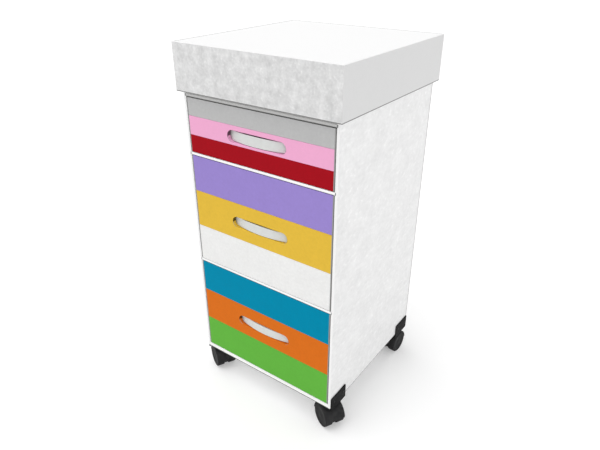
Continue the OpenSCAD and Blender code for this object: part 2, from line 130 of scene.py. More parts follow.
class Tree:
    """Places and joins the nodes of one tree."""

    def __init__(self, tree: bpy.types.NodeTree) -> None:
        """Keeps the tree that nodes are placed in."""
        self.tree = tree

    def node(
        self, kind: str, inputs: dict[str | int, Fed] | None = None, **settings: object
    ) -> bpy.types.Node:
        """Places a node.

        Args:
            kind: Blender's name of the node type.
            inputs: the name or number of an input to an output or a value.
            settings: properties to set on the node before its inputs are fed.

        Returns:
            The new node.
        """
        made = self.tree.nodes.new(kind)
        for name, value in settings.items():
            setattr(made, name, value)
        for key, value in (inputs or {}).items():
            self.feed(made.inputs[key], value)
        return made

    def join(self, source: bpy.types.NodeSocket, target: bpy.types.NodeSocket) -> None:
        """Links an output to an input."""
        self.tree.links.new(source, target)

    def feed(self, socket: bpy.types.NodeSocket, value: Fed) -> None:
        """Links an output to a socket, or sets the socket's own value.

        Args:
            socket: the input.
            value: an output, or the value to set.
        """
        if isinstance(value, bpy.types.NodeSocket):
            self.join(value, socket)
        else:
            socket.default_value = value

    def math(
        self, operation: str, first: Fed, second: Fed = 0.0, clamp: bool = False
    ) -> bpy.types.NodeSocket:
        """Places a Math node.

        Args:
            operation: the node's operation.
            first: a number or an output for the first input.
            second: a number or an output for the second input.
            clamp: whether the result stays between 0 and 1.

        Returns:
            The node's output.
        """
        made = self.node("ShaderNodeMath", {0: first, 1: second}, operation=operation, use_clamp=clamp)
        return made.outputs[0]

    def line(self, value: Fed, gain: Fed, offset: Fed, clamp: bool = False) -> bpy.types.NodeSocket:
        """Places the sum of an offset and a value times its gain."""
        return self.math("ADD", self.math("MULTIPLY", value, gain), offset, clamp)

    def excess(self, value: Fed, start: float, gain: Fed, clamp: bool = False) -> bpy.types.NodeSocket:
        """Places what a value has above a start, times a gain."""
        return self.math("MULTIPLY", self.math("SUBTRACT", value, start), gain, clamp)

    def vector(self, x: Fed = 0.0, y: Fed = 0.0, z: Fed = 0.0) -> bpy.types.NodeSocket:
        """Places a vector with these three parts."""
        return self.node("ShaderNodeCombineXYZ", {"X": x, "Y": y, "Z": z}).outputs[0]

    def scale(self, vector: Fed, factor: Fed) -> bpy.types.NodeSocket:
        """Places a vector, or the red, green and blue of a colour, times a factor."""
        return self.node("ShaderNodeVectorMath", {0: vector, "Scale": factor}, operation="SCALE").outputs[0]

    def noise(self, place: Fed, scale: float, detail: float, roughness: float = 0.5) -> bpy.types.NodeSocket:
        """Places a noise.

        Args:
            place: where the noise is read.
            scale: how many lumps it has in a unit of that place.
            detail: how many finer layers lie over them.
            roughness: how strong the finer layers are.

        Returns:
            The noise's value, which varies round one half.
        """
        inputs = {"Vector": place, "Scale": scale, "Detail": detail, "Roughness": roughness}
        return self.node("ShaderNodeTexNoise", inputs).outputs["Fac"]

    def bump(self, height: Fed, strength: float, depth: float) -> bpy.types.NodeSocket:
        """Places a bump.

        Args:
            height: the surface's height, from 0 to 1.
            strength: how much of the bump shows.
            depth: the height's size in metres.

        Returns:
            The bumped normal.
        """
        inputs = {"Strength": strength, "Distance": depth, "Height": height}
        return self.node("ShaderNodeBump", inputs).outputs["Normal"]

    def grouped(self, group: bpy.types.NodeTree, values: dict[str, Fed]) -> Sockets:
        """Places a node group.

        Args:
            group: the group.
            values: input name to a value or an output.

        Returns:
            The group's outputs by name.
        """
        made = self.node("ShaderNodeGroup", values, node_tree=group)
        return {socket.name: socket for socket in made.outputs}

    def mix_colours(self, share: Fed, first: Fed, second: Fed) -> bpy.types.NodeSocket:
        """Places a mix of two colours, with this share of the second one."""
        inputs = {"Factor": share, "A": first, "B": second}
        return self.node("ShaderNodeMix", inputs, data_type="RGBA").outputs["Result"]

    def mix_shaders(self, share: Fed, first: Fed, second: Fed) -> bpy.types.NodeSocket:
        """Places a mix of two shaders, with this share of the second one."""
        return self.node("ShaderNodeMixShader", {0: share, 1: first, 2: second}).outputs[0]

    def seen_directly(self) -> bpy.types.NodeSocket:
        """Places the test for what the camera sees, also in a mirror or through glass.

        Returns:
            1 for such a ray and 0 for any other.
        """
        ray = self.node("ShaderNodeLightPath").outputs
        seen = self.math("MAXIMUM", ray["Is Camera Ray"], ray["Is Glossy Ray"])
        return self.math("MAXIMUM", seen, ray["Is Transmission Ray"])

    def joined(self, meshes: Sequence[bpy.types.NodeSocket]) -> bpy.types.NodeSocket:
        """Places several meshes joined into one.

        Args:
            meshes: the meshes, in the order in which they are joined.

        Returns:
            The joined mesh.
        """
        made = self.node("GeometryNodeJoinGeometry")
        for mesh in meshes:
            self.join(mesh, made.inputs[0])
        return made.outputs[0]

    def raised(self, mesh: Fed, height: Fed) -> bpy.types.NodeSocket:
        """Places a mesh higher up by a height."""
        inputs = {"Geometry": mesh, "Translation": self.vector(z=height)}
        return self.node("GeometryNodeTransform", inputs).outputs["Geometry"]


def new_group(
    name: str,
    inputs: dict[str, tuple[str, Fed | None]],
    outputs: dict[str, str],
    kind: str = "ShaderNodeTree",
) -> tuple[Tree, Sockets, Sockets]:
    """Starts a node group.

    Args:
        name: the group's name.
        inputs: socket name to its type's short name and its default value, or None for Blender's own.
        outputs: socket name to its type's short name.
        kind: Blender's name of the tree's type.

    Returns:
        The tree, what it is given by name and what it hands back by name.
    """
    group = bpy.data.node_groups.new(name, kind)
    for label, (short, value) in inputs.items():
        socket = group.interface.new_socket(label, in_out="INPUT", socket_type=f"NodeSocket{short}")
        if value is not None:
            socket.default_value = value
    for label, short in outputs.items():
        group.interface.new_socket(label, in_out="OUTPUT", socket_type=f"NodeSocket{short}")
    tree = Tree(group)
    given = {socket.name: socket for socket in tree.node("NodeGroupInput").outputs}
    handed = {socket.name: socket for socket in tree.node("NodeGroupOutput").inputs}
    return tree, given, handed


def sheet_mottle_group() -> bpy.types.NodeTree:
    """Builds the cloudy, dimpled skin of extruded plastic sheet, once.

    Returns:
        A group with the shade round 1, a height for the bump and a gloss change round 0.
    """
    name = "sheet mottle"
    if name in bpy.data.node_groups:
        return bpy.data.node_groups[name]
    tree, given, made = new_group(
        name,
        {
            "Vector": ("Vector", None),
            "Cell": ("Float", 0.012),
            "Stretch": ("Vector", (1.0, 1.0, 1.0)),
            "Contrast": ("Float", 0.05),
            "Clouds": ("Float", 1.4),
            "Glints": ("Float", 0.0),
        },
        {"Shade": "Float", "Height": "Float", "Gloss": "Float"},
    )
    middle = 0.5
    fleck_weight = 2.6
    glint_start, glint_gain = 0.6, 6.0
    dimple_scale, dimple_share = 1.3, 0.6
    gloss_share = 0.12

    factors = {0: given["Vector"], 1: given["Stretch"]}
    stretched = tree.node("ShaderNodeVectorMath", factors, operation="MULTIPLY").outputs[0]
    cells = tree.scale(stretched, tree.math("DIVIDE", 1.0, given["Cell"]))
    clouds = tree.noise(cells, scale=0.45, detail=2.0, roughness=0.55)
    flecks = tree.noise(cells, scale=1.6, detail=3.0, roughness=0.6)
    dimpled = {"Vector": cells, "Scale": dimple_scale}
    dimples = tree.node("ShaderNodeTexVoronoi", dimpled, feature="SMOOTH_F1").outputs["Distance"]

    cloud = tree.math("SUBTRACT", clouds, middle)
    both = tree.line(cloud, given["Clouds"], tree.excess(flecks, middle, fleck_weight))
    glints = tree.math("MULTIPLY", tree.excess(flecks, glint_start, glint_gain, clamp=True), given["Glints"])
    shade = tree.line(both, given["Contrast"], 1.0)
    tree.join(tree.math("ADD", shade, glints), made["Shade"])
    tree.join(tree.line(dimples, dimple_share, flecks), made["Height"])
    tree.join(tree.math("MULTIPLY", both, gloss_share), made["Gloss"])
    return tree.tree


def fine_grain_group() -> bpy.types.NodeTree:
    """Builds, once, the fine grain of moulded plastic and powder coat, with a little dust lying on top.

    Returns:
        A group with a height for the bump, a shade round 1 and a dust mask.
    """
    name = "fine grain and dust"
    if name in bpy.data.node_groups:
        return bpy.data.node_groups[name]
    tree, given, made = new_group(
        name,
        {
            "Vector": ("Vector", None),
            "Grain": ("Float", 0.0008),
            "Contrast": ("Float", 0.1),
            "Dust": ("Float", 0.2),
        },
        {"Shade": "Float", "Height": "Float", "Dust": "Float"},
    )
    middle = 0.5
    patch_start, patch_gain = 0.42, 5.0
    lying_gain, lying_offset = 0.5, 0.35
    shade_gain = 2.0

    grains = tree.scale(given["Vector"], tree.math("DIVIDE", 1.0, given["Grain"]))
    grain = tree.noise(grains, scale=1.0, detail=1.0)
    patches = tree.noise(given["Vector"], scale=90.0, detail=4.0)
    normal = tree.node("ShaderNodeNewGeometry").outputs["Normal"]
    upward = tree.node("ShaderNodeSeparateXYZ", {0: normal}).outputs["Z"]

    lying = tree.line(upward, lying_gain, lying_offset, clamp=True)
    patch = tree.excess(patches, patch_start, patch_gain, clamp=True)
    tree.join(tree.math("MULTIPLY", tree.math("MULTIPLY", lying, patch), given["Dust"]), made["Dust"])
    change = tree.excess(patches, middle, given["Contrast"])
    tree.join(tree.line(change, shade_gain, 1.0), made["Shade"])
    tree.join(grain, made["Height"])
    return tree.tree


# ------------------------------------------------------------------ finishes


def linear(code: str) -> tuple[float, float, float, float]:
    """Turns a colour written as #rrggbb into the linear values that shaders take.

    Args:
        code: the colour as # and six hexadecimal digits.

    Returns:
        Red, green, blue and alpha.
    """
    parts = [channel / 255 for channel in bytes.fromhex(code[1:])]
    made = [p / 12.92 if p <= 0.04045 else ((p + 0.055) / 1.055) ** 2.4 for p in parts]
    return (*made, 1.0)


def new_material(name: str) -> tuple[bpy.types.Material, Tree, bpy.types.Node]:
    """Starts a material that uses nodes.

    Args:
        name: the material's name.

    Returns:
        The material, its tree and its Principled shader.
    """
    material = bpy.data.materials.new(name)
    material.use_nodes = True
    return material, Tree(material.node_tree), material.node_tree.nodes["Principled BSDF"]


@dataclass(frozen=True)
class Finish(ABC):
    """What every finish has: a name, a colour and a material that is built once."""

    name: str
    colour: str

    def material(self) -> bpy.types.Material:
        """Builds the finish's material, or finds the one that was built.

        Returns:
            The material.
        """
        if self.name in bpy.data.materials:
            return bpy.data.materials[self.name]
        material, tree, shader = new_material(self.name)
        self.paint(tree, shader, tree.node("ShaderNodeTexCoord").outputs["Object"])
        return material

    @abstractmethod
    def paint(self, tree: Tree, shader: bpy.types.Node, place: bpy.types.NodeSocket) -> None:
        """Feeds the shader, which each kind of finish does in its own way.

        Args:
            tree: the material's tree.
            shader: its Principled shader.
            place: the Object coordinates.
        """

    def tinted(self, tree: Tree, shade: bpy.types.NodeSocket) -> bpy.types.NodeSocket:
        """Places the finish's colour times a shade."""
        return tree.scale(linear(self.colour)[:3], shade)


@dataclass(frozen=True)
class SheetFinish(Finish):
    """Extruded plastic sheet: nearly flat colour with cloudy patches and a faint orange-peel skin."""

    cell: float = 0.011
    stretch: tuple[float, float, float] = (1.0, 1.0, 1.0)
    contrast: float = 0.03
    clouds: float = 1.4
    glints: float = 0.0
    peel: float = 0.12
    peel_depth: float = 0.6 * MM
    roughness: float = 0.55
    specular: float = 0.3

    def paint(self, tree: Tree, shader: bpy.types.Node, place: bpy.types.NodeSocket) -> None:
        """Feeds the shader with the mottled skin.

        Args:
            tree: the material's tree.
            shader: its Principled shader.
            place: the Object coordinates.
        """
        mottle = tree.grouped(
            sheet_mottle_group(),
            {
                "Vector": place,
                "Cell": self.cell,
                "Stretch": self.stretch,
                "Contrast": self.contrast,
                "Clouds": self.clouds,
                "Glints": self.glints,
            },
        )
        tree.join(self.tinted(tree, mottle["Shade"]), shader.inputs["Base Color"])
        tree.join(tree.math("ADD", mottle["Gloss"], self.roughness), shader.inputs["Roughness"])
        tree.join(tree.bump(mottle["Height"], self.peel, self.peel_depth), shader.inputs["Normal"])
        shader.inputs["Specular IOR Level"].default_value = self.specular


@dataclass(frozen=True)
class MouldedFinish(Finish):
    """Moulded plastic, rubber or powder coat: fine grain, faint patches and dust on what faces up."""

    dust_colour: str = "#8c8a86"
    grain: float = 0.8 * MM
    contrast: float = 0.12
    dust: float = 0.12
    dulling: float = 0.4
    bump: float = 0.25
    bump_depth: float = 0.1 * MM
    roughness: float = 0.5
    specular: float = 0.2

    def paint(self, tree: Tree, shader: bpy.types.Node, place: bpy.types.NodeSocket) -> None:
        """Feeds the shader with the grain and the dust, which is paler and duller.

        Args:
            tree: the material's tree.
            shader: its Principled shader.
            place: the Object coordinates.
        """
        grain = tree.grouped(
            fine_grain_group(),
            {"Vector": place, "Grain": self.grain, "Contrast": self.contrast, "Dust": self.dust},
        )
        dusty = tree.mix_colours(grain["Dust"], self.tinted(tree, grain["Shade"]), linear(self.dust_colour))
        tree.join(dusty, shader.inputs["Base Color"])
        tree.join(tree.line(grain["Dust"], self.dulling, self.roughness), shader.inputs["Roughness"])
        tree.join(tree.bump(grain["Height"], self.bump, self.bump_depth), shader.inputs["Normal"])
        shader.inputs["Specular IOR Level"].default_value = self.specular


@dataclass(frozen=True)
class SteelFinish(Finish):
    """Plated steel with faint streaks in its gloss."""

    roughness: float = 0.3
    streak: float = 0.2

    def paint(self, tree: Tree, shader: bpy.types.Node, place: bpy.types.NodeSocket) -> None:
        """Feeds the shader with the grain, which varies the gloss.

        Args:
            tree: the material's tree.
            shader: its Principled shader.
            place: the Object coordinates.
        """
        grain = tree.grouped(fine_grain_group(), {"Vector": place})
        tree.join(self.tinted(tree, grain["Shade"]), shader.inputs["Base Color"])
        tree.join(tree.line(grain["Height"], self.streak, self.roughness), shader.inputs["Roughness"])
        shader.inputs["Metallic"].default_value = 1.0


@dataclass(frozen=True)
class SheetLook:
    """What a sheet piece shows: its faces, its cut edges and the narrow line where the two meet, which on
    most pieces is painted shade.
    """

    face: Finish
    edge: Finish
    line: Finish

    def materials(self) -> list[bpy.types.Material]:
        """Returns the three materials in the order of SheetSlot."""
        return [self.face.material(), self.edge.material(), self.line.material()]


def narrow(name: str, colour: str, roughness: float = 0.55) -> SheetFinish:
    """Returns the finish of a cut edge or a shaded line, with hardly any texture."""
    return SheetFinish(name, colour, contrast=0.02, peel=0.05, roughness=roughness)


def plank(name: str, colour: str, contrast: float = 0.06, glints: float = 0.0) -> SheetFinish:
    """Returns the finish of a coloured plank, duller than the white sheet."""
    return SheetFinish(name, colour, contrast=contrast, glints=glints, specular=0.02)


def painted_recess_shade(finish: SheetFinish, share: float = 0.45) -> SheetFinish:
    """Returns a copy of a finish darkened with painted shade, as in a deep recess.

    Args:
        finish: the finish of the open face.
        share: the part of its brightness that is left.

    Returns:
        The darker finish.
    """
    code = "".join(f"{round(channel * share):02x}" for channel in bytes.fromhex(finish.colour[1:]))
    return replace(finish, name=finish.name + ", deep", colour="#" + code)


PLAIN_FACE = SheetFinish("plain sheet, white", "#ededed")
CUT_EDGE = SheetFinish("cut edge, white sheet", "#fbfbfb", contrast=0.01, peel=0.05, roughness=0.6)
EDGE_LINE = narrow("shaded edge, white sheet", "#6f6f6e", roughness=0.6)
SIDE_FACE = SheetFinish(
    "side sheet, white",
    "#f3f3f3",
    cell=0.014,
    stretch=(1.0, 0.7, 1.0),
    contrast=0.09,
    clouds=2.0,
    glints=0.1,
    peel=0.2,
)
SIDE_EDGE = narrow("cut edge, side sheet", "#f5f5f5", roughness=0.6)
# Painted shade: the grey strip along the side panels' rear edge.
PAINTED_REAR_SHADE = narrow("rear edge, side sheet", "#9e9e9d", roughness=0.6)
UPPER_SHELF_LINE = narrow("shaded edge, upper shelf", "#a6a4aa", roughness=0.6)
LOWER_SHELF_LINE = narrow("shaded edge, lower shelf", "#747678", roughness=0.6)
DECK_FACE = SheetFinish("tray sheet, grey", "#bdbdbb")
DECK_EDGE = narrow("cut edge, grey sheet", "#c6c6c5")
DECK_LINE = narrow("shaded edge, grey sheet", "#858584")
LID_TOP_FACE = SheetFinish("lid sheet, top", "#eeeeee", contrast=0.01, peel=0.1)
LID_END_FACE = SheetFinish(
    "lid sheet, front and back",
    "#d9d9d9",
    cell=0.0075,
    stretch=(0.85, 1.0, 0.8),
    contrast=0.13,
    clouds=4.4,
    glints=0.12,
    peel=0.25,
)
LID_SIDE_FACE = SheetFinish("lid sheet, sides", "#dfdfdf", contrast=0.02, peel=0.1)
# Painted shade: the dark band along the outside of the lid's lower rim.
LID_RIM_SHADE = narrow("lower rim of the lid", "#7e7e7d")
# Painted shade: the grey band along the lid top's back and left edges.
LID_BACK_SHADE = narrow("back edge of the lid", "#a2a2a1")
BOX_FACE = SheetFinish("drawer box sheet", "#eaeaea")
PLANK_LINE = narrow("shaded edge of a plank", "#929291")
PULL_FACE = SheetFinish("pull strip", "#d7d9d7", cell=0.02, contrast=0.05, peel=0.1, roughness=0.5)
PULL_LINE = narrow("edge of the pull strip", "#cfd0cf")
GLIDE = SheetFinish("glide strip", "#c9c9c4", peel=0.05, roughness=0.35)
BUMPER = MouldedFinish("soft bumper", "#b4b4b0", grain=0.6 * MM, dust=0.05, roughness=0.8)
HOOD_BLACK = MouldedFinish("moulded hood, black", "#282829", dust=0.06, roughness=0.55, specular=0.12)
WHEEL_BLACK = MouldedFinish(
    "moulded wheel, black", "#272728", grain=1.0 * MM, dust=0.06, roughness=0.6, specular=0.1
)
BRACKET_BLACK = MouldedFinish(
    "powder coat, black", "#1c1c1d", grain=0.6 * MM, bump=0.3, dust=0.02, roughness=0.6, specular=0.06
)
SCREW_BLACK = MouldedFinish("black screw", "#161617", grain=0.4 * MM, dust=0.05, roughness=0.35)
STEEL = SteelFinish("plated steel", "#b9bcc0")

STRIPES: dict[Level, tuple[SheetFinish, SheetFinish, SheetFinish]] = {
    Level.UPPER: (
        plank("grey plank", "#bbbbbb"),
        plank("pink plank", "#f0add1", contrast=0.03),
        plank("red plank", "#a4131f"),
    ),
    Level.MIDDLE: (
        plank("purple plank", "#9b88ce"),
        plank("yellow plank", "#e3bb43"),
        plank("white plank", "#ededec", glints=0.05),
    ),
    Level.LOWER: (
        plank("blue plank", "#0089ac"),
        plank("orange plank", "#da7020"),
        plank("green plank", "#65b544"),
    ),
}


# ------------------------------------------------------------------ ways that a face looks

# How much of a unit normal points one way before a face counts as looking that way.
SQUARE_ON = 0.98
MOSTLY = 0.5
PARTLY = 0.3
SLIGHTLY = 0.2
BARELY = 0.1
HARDLY = 0.05


def looks_away(normal: Vector) -> bool:
    """Tells whether a face looks down or to the back, where it lies in shade."""
    return normal.z < -SLIGHTLY or normal.y > SLIGHTLY


def looks_sideways(normal: Vector) -> bool:
    """Tells whether a face looks to the left or right."""
    return abs(normal.x) > PARTLY


def squarely_sideways(normal: Vector) -> bool:
    """Tells whether a face looks mostly to the left or right."""
    return abs(normal.x) > MOSTLY


def looks_up(normal: Vector) -> bool:
    """Tells whether a face looks up."""
    return normal.z > PARTLY


def not_from_below(normal: Vector) -> bool:
    """Tells whether a face looks any way but mostly down."""
    return normal.z > -MOSTLY


def any_way(normal: Vector) -> bool:
    """Accepts a face whichever way it looks."""
    return True


def no_way(normal: Vector) -> bool:
    """Accepts no face, whichever way it looks."""
    return False


# ------------------------------------------------------------------ mesh helpers

SHEET_EDGE = 0.8 * MM
BEVEL_STEPS = 2

# Points nearer than this are one: a share of the edge's radius in a sheet, and metres elsewhere.
SHEET_GAP = 0.02
LATHE_GAP = 1e-7
CAD_GAP = 1e-6


def place_piece(piece: bpy.types.Object, body: str, slot: str, *nodes: str) -> None:
    """Lets a finished piece stand for its CAD nodes and move with their body.

    Args:
        piece: the finished piece, at the origin.
        body: the CAD body that it rides on.
        slot: the record's material slot; not used.
        nodes: the CAD nodes that it stands for.
    """
    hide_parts(*nodes)
    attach(piece, body)
    LOG.info("%s rides on %s: %d faces", piece.name, body, len(piece.data.polygons))


def dress(node: str, finish: Finish) -> None:
    """Gives a CAD node that keeps its own mesh a finish.

    Args:
        node: the CAD node.
        finish: its finish.
    """
    slots = frame["nodes"][node].data.materials
    slots.clear()
    slots.append(finish.material())
    LOG.info("%s keeps its own mesh, in %s", node, finish.name)


def joint(name: str) -> dict:
    """Returns the record's joint of that name."""
    return next(j for j in frame["joints"] if j["name"] == name)


def object_from(
    name: str, draft: bmesh.types.BMesh, materials: Sequence[bpy.types.Material]
) -> bpy.types.Object:
    """Turns a draft into a linked object.

    Args:
        name: the object's name.
        draft: the shape, which is freed.
        materials: one material for each slot.

    Returns:
        The object, at the origin.
    """
    mesh = bpy.data.meshes.new(name)
    draft.to_mesh(mesh)
    draft.free()
    for material in materials:
        mesh.materials.append(material)
    piece = bpy.data.objects.new(name, mesh)
    bpy.context.scene.collection.objects.link(piece)
    return piece


def arc(centre: Point, radius: float, start: float, stop: float, steps: int) -> list[Point]:
    """Points along an arc, both ends included.

    Args:
        centre: the arc's centre.
        radius: its radius.
        start: the first angle in degrees.
        stop: the last angle in degrees.
        steps: how many stretches it has.

    Returns:
        The points.
    """
    angles = [math.radians(start + (stop - start) * i / steps) for i in range(steps + 1)]
    return [(centre[0] + radius * math.cos(a), centre[1] + radius * math.sin(a)) for a in angles]


def rounded_rectangle(low: Point, high: Point, radius: float = 0.0, steps: int = 6) -> list[Point]:
    """The outline of a rectangle, counter-clockwise, with its corners rounded.

    Args:
        low: the lowest corner.
        high: the highest corner.
        radius: the corners' radius, or 0 for square corners.
        steps: how many stretches a corner has.

    Returns:
        The outline's points.
    """
    if radius <= 0:
        return [low, (high[0], low[1]), high, (low[0], high[1])]
    left, right, bottom, top = low[0] + radius, high[0] - radius, low[1] + radius, high[1] - radius
    return (
        arc((left, bottom), radius, 180, 270, steps)
        + arc((right, bottom), radius, 270, 360, steps)
        + arc((right, top), radius, 0, 90, steps)
        + arc((left, top), radius, 90, 180, steps)
    )


def flat_to_space(across: Across, middle: float) -> Matrix:
    """The matrix that stands a flat outline up, with its thickness along an axis.

    Args:
        across: the axis of the thickness.
        middle: the place of the sheet's middle along that axis.

    Returns:
        A matrix that takes the outline's first and second axes to the frame's other two.
    """
    columns = {
        Across.X: ((0, 1, 0), (0, 0, 1), (1, 0, 0)),
        Across.Y: ((1, 0, 0), (0, 0, 1), (0, -1, 0)),
        Across.Z: ((1, 0, 0), (0, 1, 0), (0, 0, 1)),
    }[across]
    offset = Vector((0, 0, 0))
    offset[across.value] = middle
    return Matrix.Translation(offset) @ Matrix(columns).transposed().to_4x4()


def outline_curve(
    name: str, outlines: Sequence[Outline], thickness: float, edge_radius: float
) -> bpy.types.Curve:
    """Draws outlines as a flat curve that is filled, thickened and rounded along its edges.

    Args:
        name: the curve's name.
        outlines: the outer outline and those of the holes.
        thickness: the sheet's thickness.
        edge_radius: the radius of the rounded edges.

    Returns:
        The curve.
    """
    curve = bpy.data.curves.new(name, "CURVE")
    curve.dimensions = "2D"
    curve.fill_mode = "BOTH"
    curve.extrude = thickness / 2 - edge_radius
    curve.bevel_depth = edge_radius
    curve.bevel_resolution = BEVEL_STEPS
    curve.offset = -edge_radius
    for outline in outlines:
        spline = curve.splines.new("POLY")
        spline.points.add(len(outline) - 1)
        for point, (u, v) in zip(spline.points, outline):
            point.co = (u, v, 0, 1)
        spline.use_cyclic_u = True
    return curve


def draft_of(carrier: bpy.types.Object, to_space: Matrix | None = None) -> bmesh.types.BMesh:
    """Takes an object's finished shape as a draft and removes the object.

    Args:
        carrier: an object that isn't linked yet, whose curve or modifiers make the shape.
        to_space: places the shape, or None where it lies in its place.

    Returns:
        The draft.
    """
    bpy.context.scene.collection.objects.link(carrier)
    graph = bpy.context.evaluated_depsgraph_get()
    mesh = bpy.data.meshes.new_from_object(carrier.evaluated_get(graph))
    bpy.data.objects.remove(carrier)
    if to_space is not None:
        mesh.transform(to_space)
    draft = bmesh.new()
    draft.from_mesh(mesh)
    bpy.data.meshes.remove(mesh)
    return draft


def cut_sheet(
    name: str,
    outlines: Sequence[Outline],
    across: Across,
    span: Point,
    look: Sequence[bpy.types.Material],
    edge_radius: float = SHEET_EDGE,
    lined: Facing = looks_away,
) -> bpy.types.Object:
    """Cuts a sheet along its outlines and rounds every edge, also round a hole.

    Args:
        name: the piece's name.
        outlines: the outer outline and those of the holes, in the plane of the sheet.
        across: the axis of the thickness.
        span: the sheet's low and high sides along that axis.
        look: the materials of the faces, the cut edges and the rounded line between them.
        edge_radius: the radius of the rounded edges.
        lined: tells from its normal whether a rounded face has the line's material.

    Returns:
        The piece, at the origin.
    """
    near, far = span
    curve = outline_curve(name, outlines, far - near, edge_radius)
    draft = draft_of(bpy.data.objects.new(name + "_outline", curve), flat_to_space(across, (near + far) / 2))
    bpy.data.curves.remove(curve)
    bmesh.ops.remove_doubles(draft, verts=draft.verts, dist=edge_radius * SHEET_GAP)
    bmesh.ops.recalc_face_normals(draft, faces=draft.faces)
    for face in draft.faces:
        squareness = abs(face.normal[across.value])
        face.smooth = HARDLY <= squareness <= SQUARE_ON
        # The line's material is painted shade on most pieces.
        if face.smooth and lined(face.normal):
            face.material_index = SheetSlot.LINE
        elif squareness > SQUARE_ON:
            face.material_index = SheetSlot.FACE
        else:
            face.material_index = SheetSlot.EDGE
    return object_from(name, draft, look)


def node_plate(
    node: str,
    across: Across,
    look: SheetLook,
    holes: Sequence[Outline] = (),
    edge_radius: float = SHEET_EDGE,
    lined: Facing = looks_away,
) -> bpy.types.Object:
    """Cuts a plate of the size of a CAD node.

    Args:
        node: the CAD node whose box it fills.
        across: the axis of its thickness.
        look: its faces, cut edges and edge lines.
        holes: outlines of holes in the plane of the sheet.
        edge_radius: the radius of the rounded edges.
        lined: tells from its normal whether a rounded face has the line's material.

    Returns:
        The piece, at the origin.
    """
    low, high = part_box(node)
    flat = [i for i in range(3) if i != across.value]
    outline = rounded_rectangle((low[flat[0]], low[flat[1]]), (high[flat[0]], high[flat[1]]))
    span = (low[across.value], high[across.value])
    return cut_sheet(node + "_sheet", [outline, *holes], across, span, look.materials(), edge_radius, lined)


def mark_strip(
    piece: bpy.types.Object, border: Vector, outward: Vector, meant: Facing, slot: int = SheetSlot.LINE
) -> None:
    """Gives a narrow strip along one side of a piece the material of another slot.

    Args:
        piece: the piece.
        border: a point on the strip's inner border.
        outward: the direction from there to the piece's side.
        meant: tells from its normal whether a face of the strip is meant.
        slot: the index of the material's slot.
    """
    draft = bmesh.new()
    draft.from_mesh(piece.data)
    everything = draft.verts[:] + draft.edges[:] + draft.faces[:]
    bmesh.ops.bisect_plane(draft, geom=everything, plane_co=border, plane_no=outward)
    for face in draft.faces:
        if (face.calc_center_median() - border).dot(outward) > 0 and meant(face.normal):
            face.material_index = slot
    draft.to_mesh(piece.data)
    draft.free()


def join_pieces(name: str, parts: Sequence[bpy.types.Object]) -> bpy.types.Object:
    """Puts several pieces with the same slots into one mesh.

    Args:
        name: the new piece's name.
        parts: the pieces, which are removed.

    Returns:
        The joined piece.
    """
    draft = bmesh.new()
    materials = list(parts[0].data.materials)
    for part in parts:
        draft.from_mesh(part.data)
        bpy.data.objects.remove(part)
    return object_from(name, draft, materials)


def turned_ring(
    draft: bmesh.types.BMesh, profile: Outline, to_space: Matrix, steps: int, turn: float = 360.0
) -> None:
    """Turns a closed profile round the Z axis and adds the solid to a draft.

    Args:
        draft: the draft that the solid is added to.
        profile: closed outline as (radius, height) pairs.
        to_space: places the solid.
        steps: how many stretches the turn has.
        turn: the angle of the turn in degrees; under 360 both ends are closed.
    """
    whole = turn >= 360
    rings = []
    for i in range(steps if whole else steps + 1):
        angle = math.radians(turn * i / steps)
        across, along = math.cos(angle), math.sin(angle)
        rings.append([draft.verts.new(to_space @ Vector((r * across, r * along, h))) for r, h in profile])
    faces = []
    for i in range(steps):
        here, there = rings[i], rings[(i + 1) % len(rings)]
        for j in range(len(profile)):
            k = (j + 1) % len(profile)
            on_axis = profile[j][0] == 0 and profile[k][0] == 0
            if not on_axis:
                faces.append(draft.faces.new((here[j], there[j], there[k], here[k])))
    if not whole:
        faces.append(draft.faces.new(rings[0]))
        faces.append(draft.faces.new(rings[-1][::-1]))
    bmesh.ops.remove_doubles(draft, verts=[v for ring in rings for v in ring], dist=LATHE_GAP)
    left = [face for face in faces if face.is_valid]
    bmesh.ops.recalc_face_normals(draft, faces=left)
    for face in left:
        face.smooth = True


def shade_by_angle(piece: bpy.types.Object, degrees: float = 35.0) -> bpy.types.Object:
    """Marks the edges sharper than an angle, so that only the rest shades smooth.

    Args:
        piece: a piece whose faces are smooth.
        degrees: the angle above which an edge is sharp.

    Returns:
        The piece.
    """
    draft = bmesh.new()
    draft.from_mesh(piece.data)
    limit = math.radians(degrees)
    for edge in draft.edges:
        edge.smooth = len(edge.link_faces) == 2 and edge.calc_face_angle(0.0) < limit
    draft.to_mesh(piece.data)
    draft.free()
    return piece


# ------------------------------------------------------------------ screws


@dataclass(frozen=True)
class ScrewHead:
    """Where a screw stands: the middle of its head's underside, and the way that its head faces."""

    spot: Vector
    way: Vector


def loose_parts(node: str) -> list[list[Vector]]:
    """Finds the separate solids of a CAD node.

    Args:
        node: the CAD node.

    Returns:
        The points of each solid.
    """
    draft = bmesh.new()
    draft.from_mesh(frame["nodes"][node].data)
    bmesh.ops.remove_doubles(draft, verts=draft.verts, dist=CAD_GAP)
    found = []
    seen: set[bmesh.types.BMVert] = set()
    for start in draft.verts:
        if start in seen:
            continue
        seen.add(start)
        points, queue = [], [start]
        while queue:
            here = queue.pop()
            points.append(here.co.copy())
            for edge in here.link_edges:
                other = edge.other_vert(here)
                if other not in seen:
                    seen.add(other)
                    queue.append(other)
        found.append(points)
    draft.free()
    return found


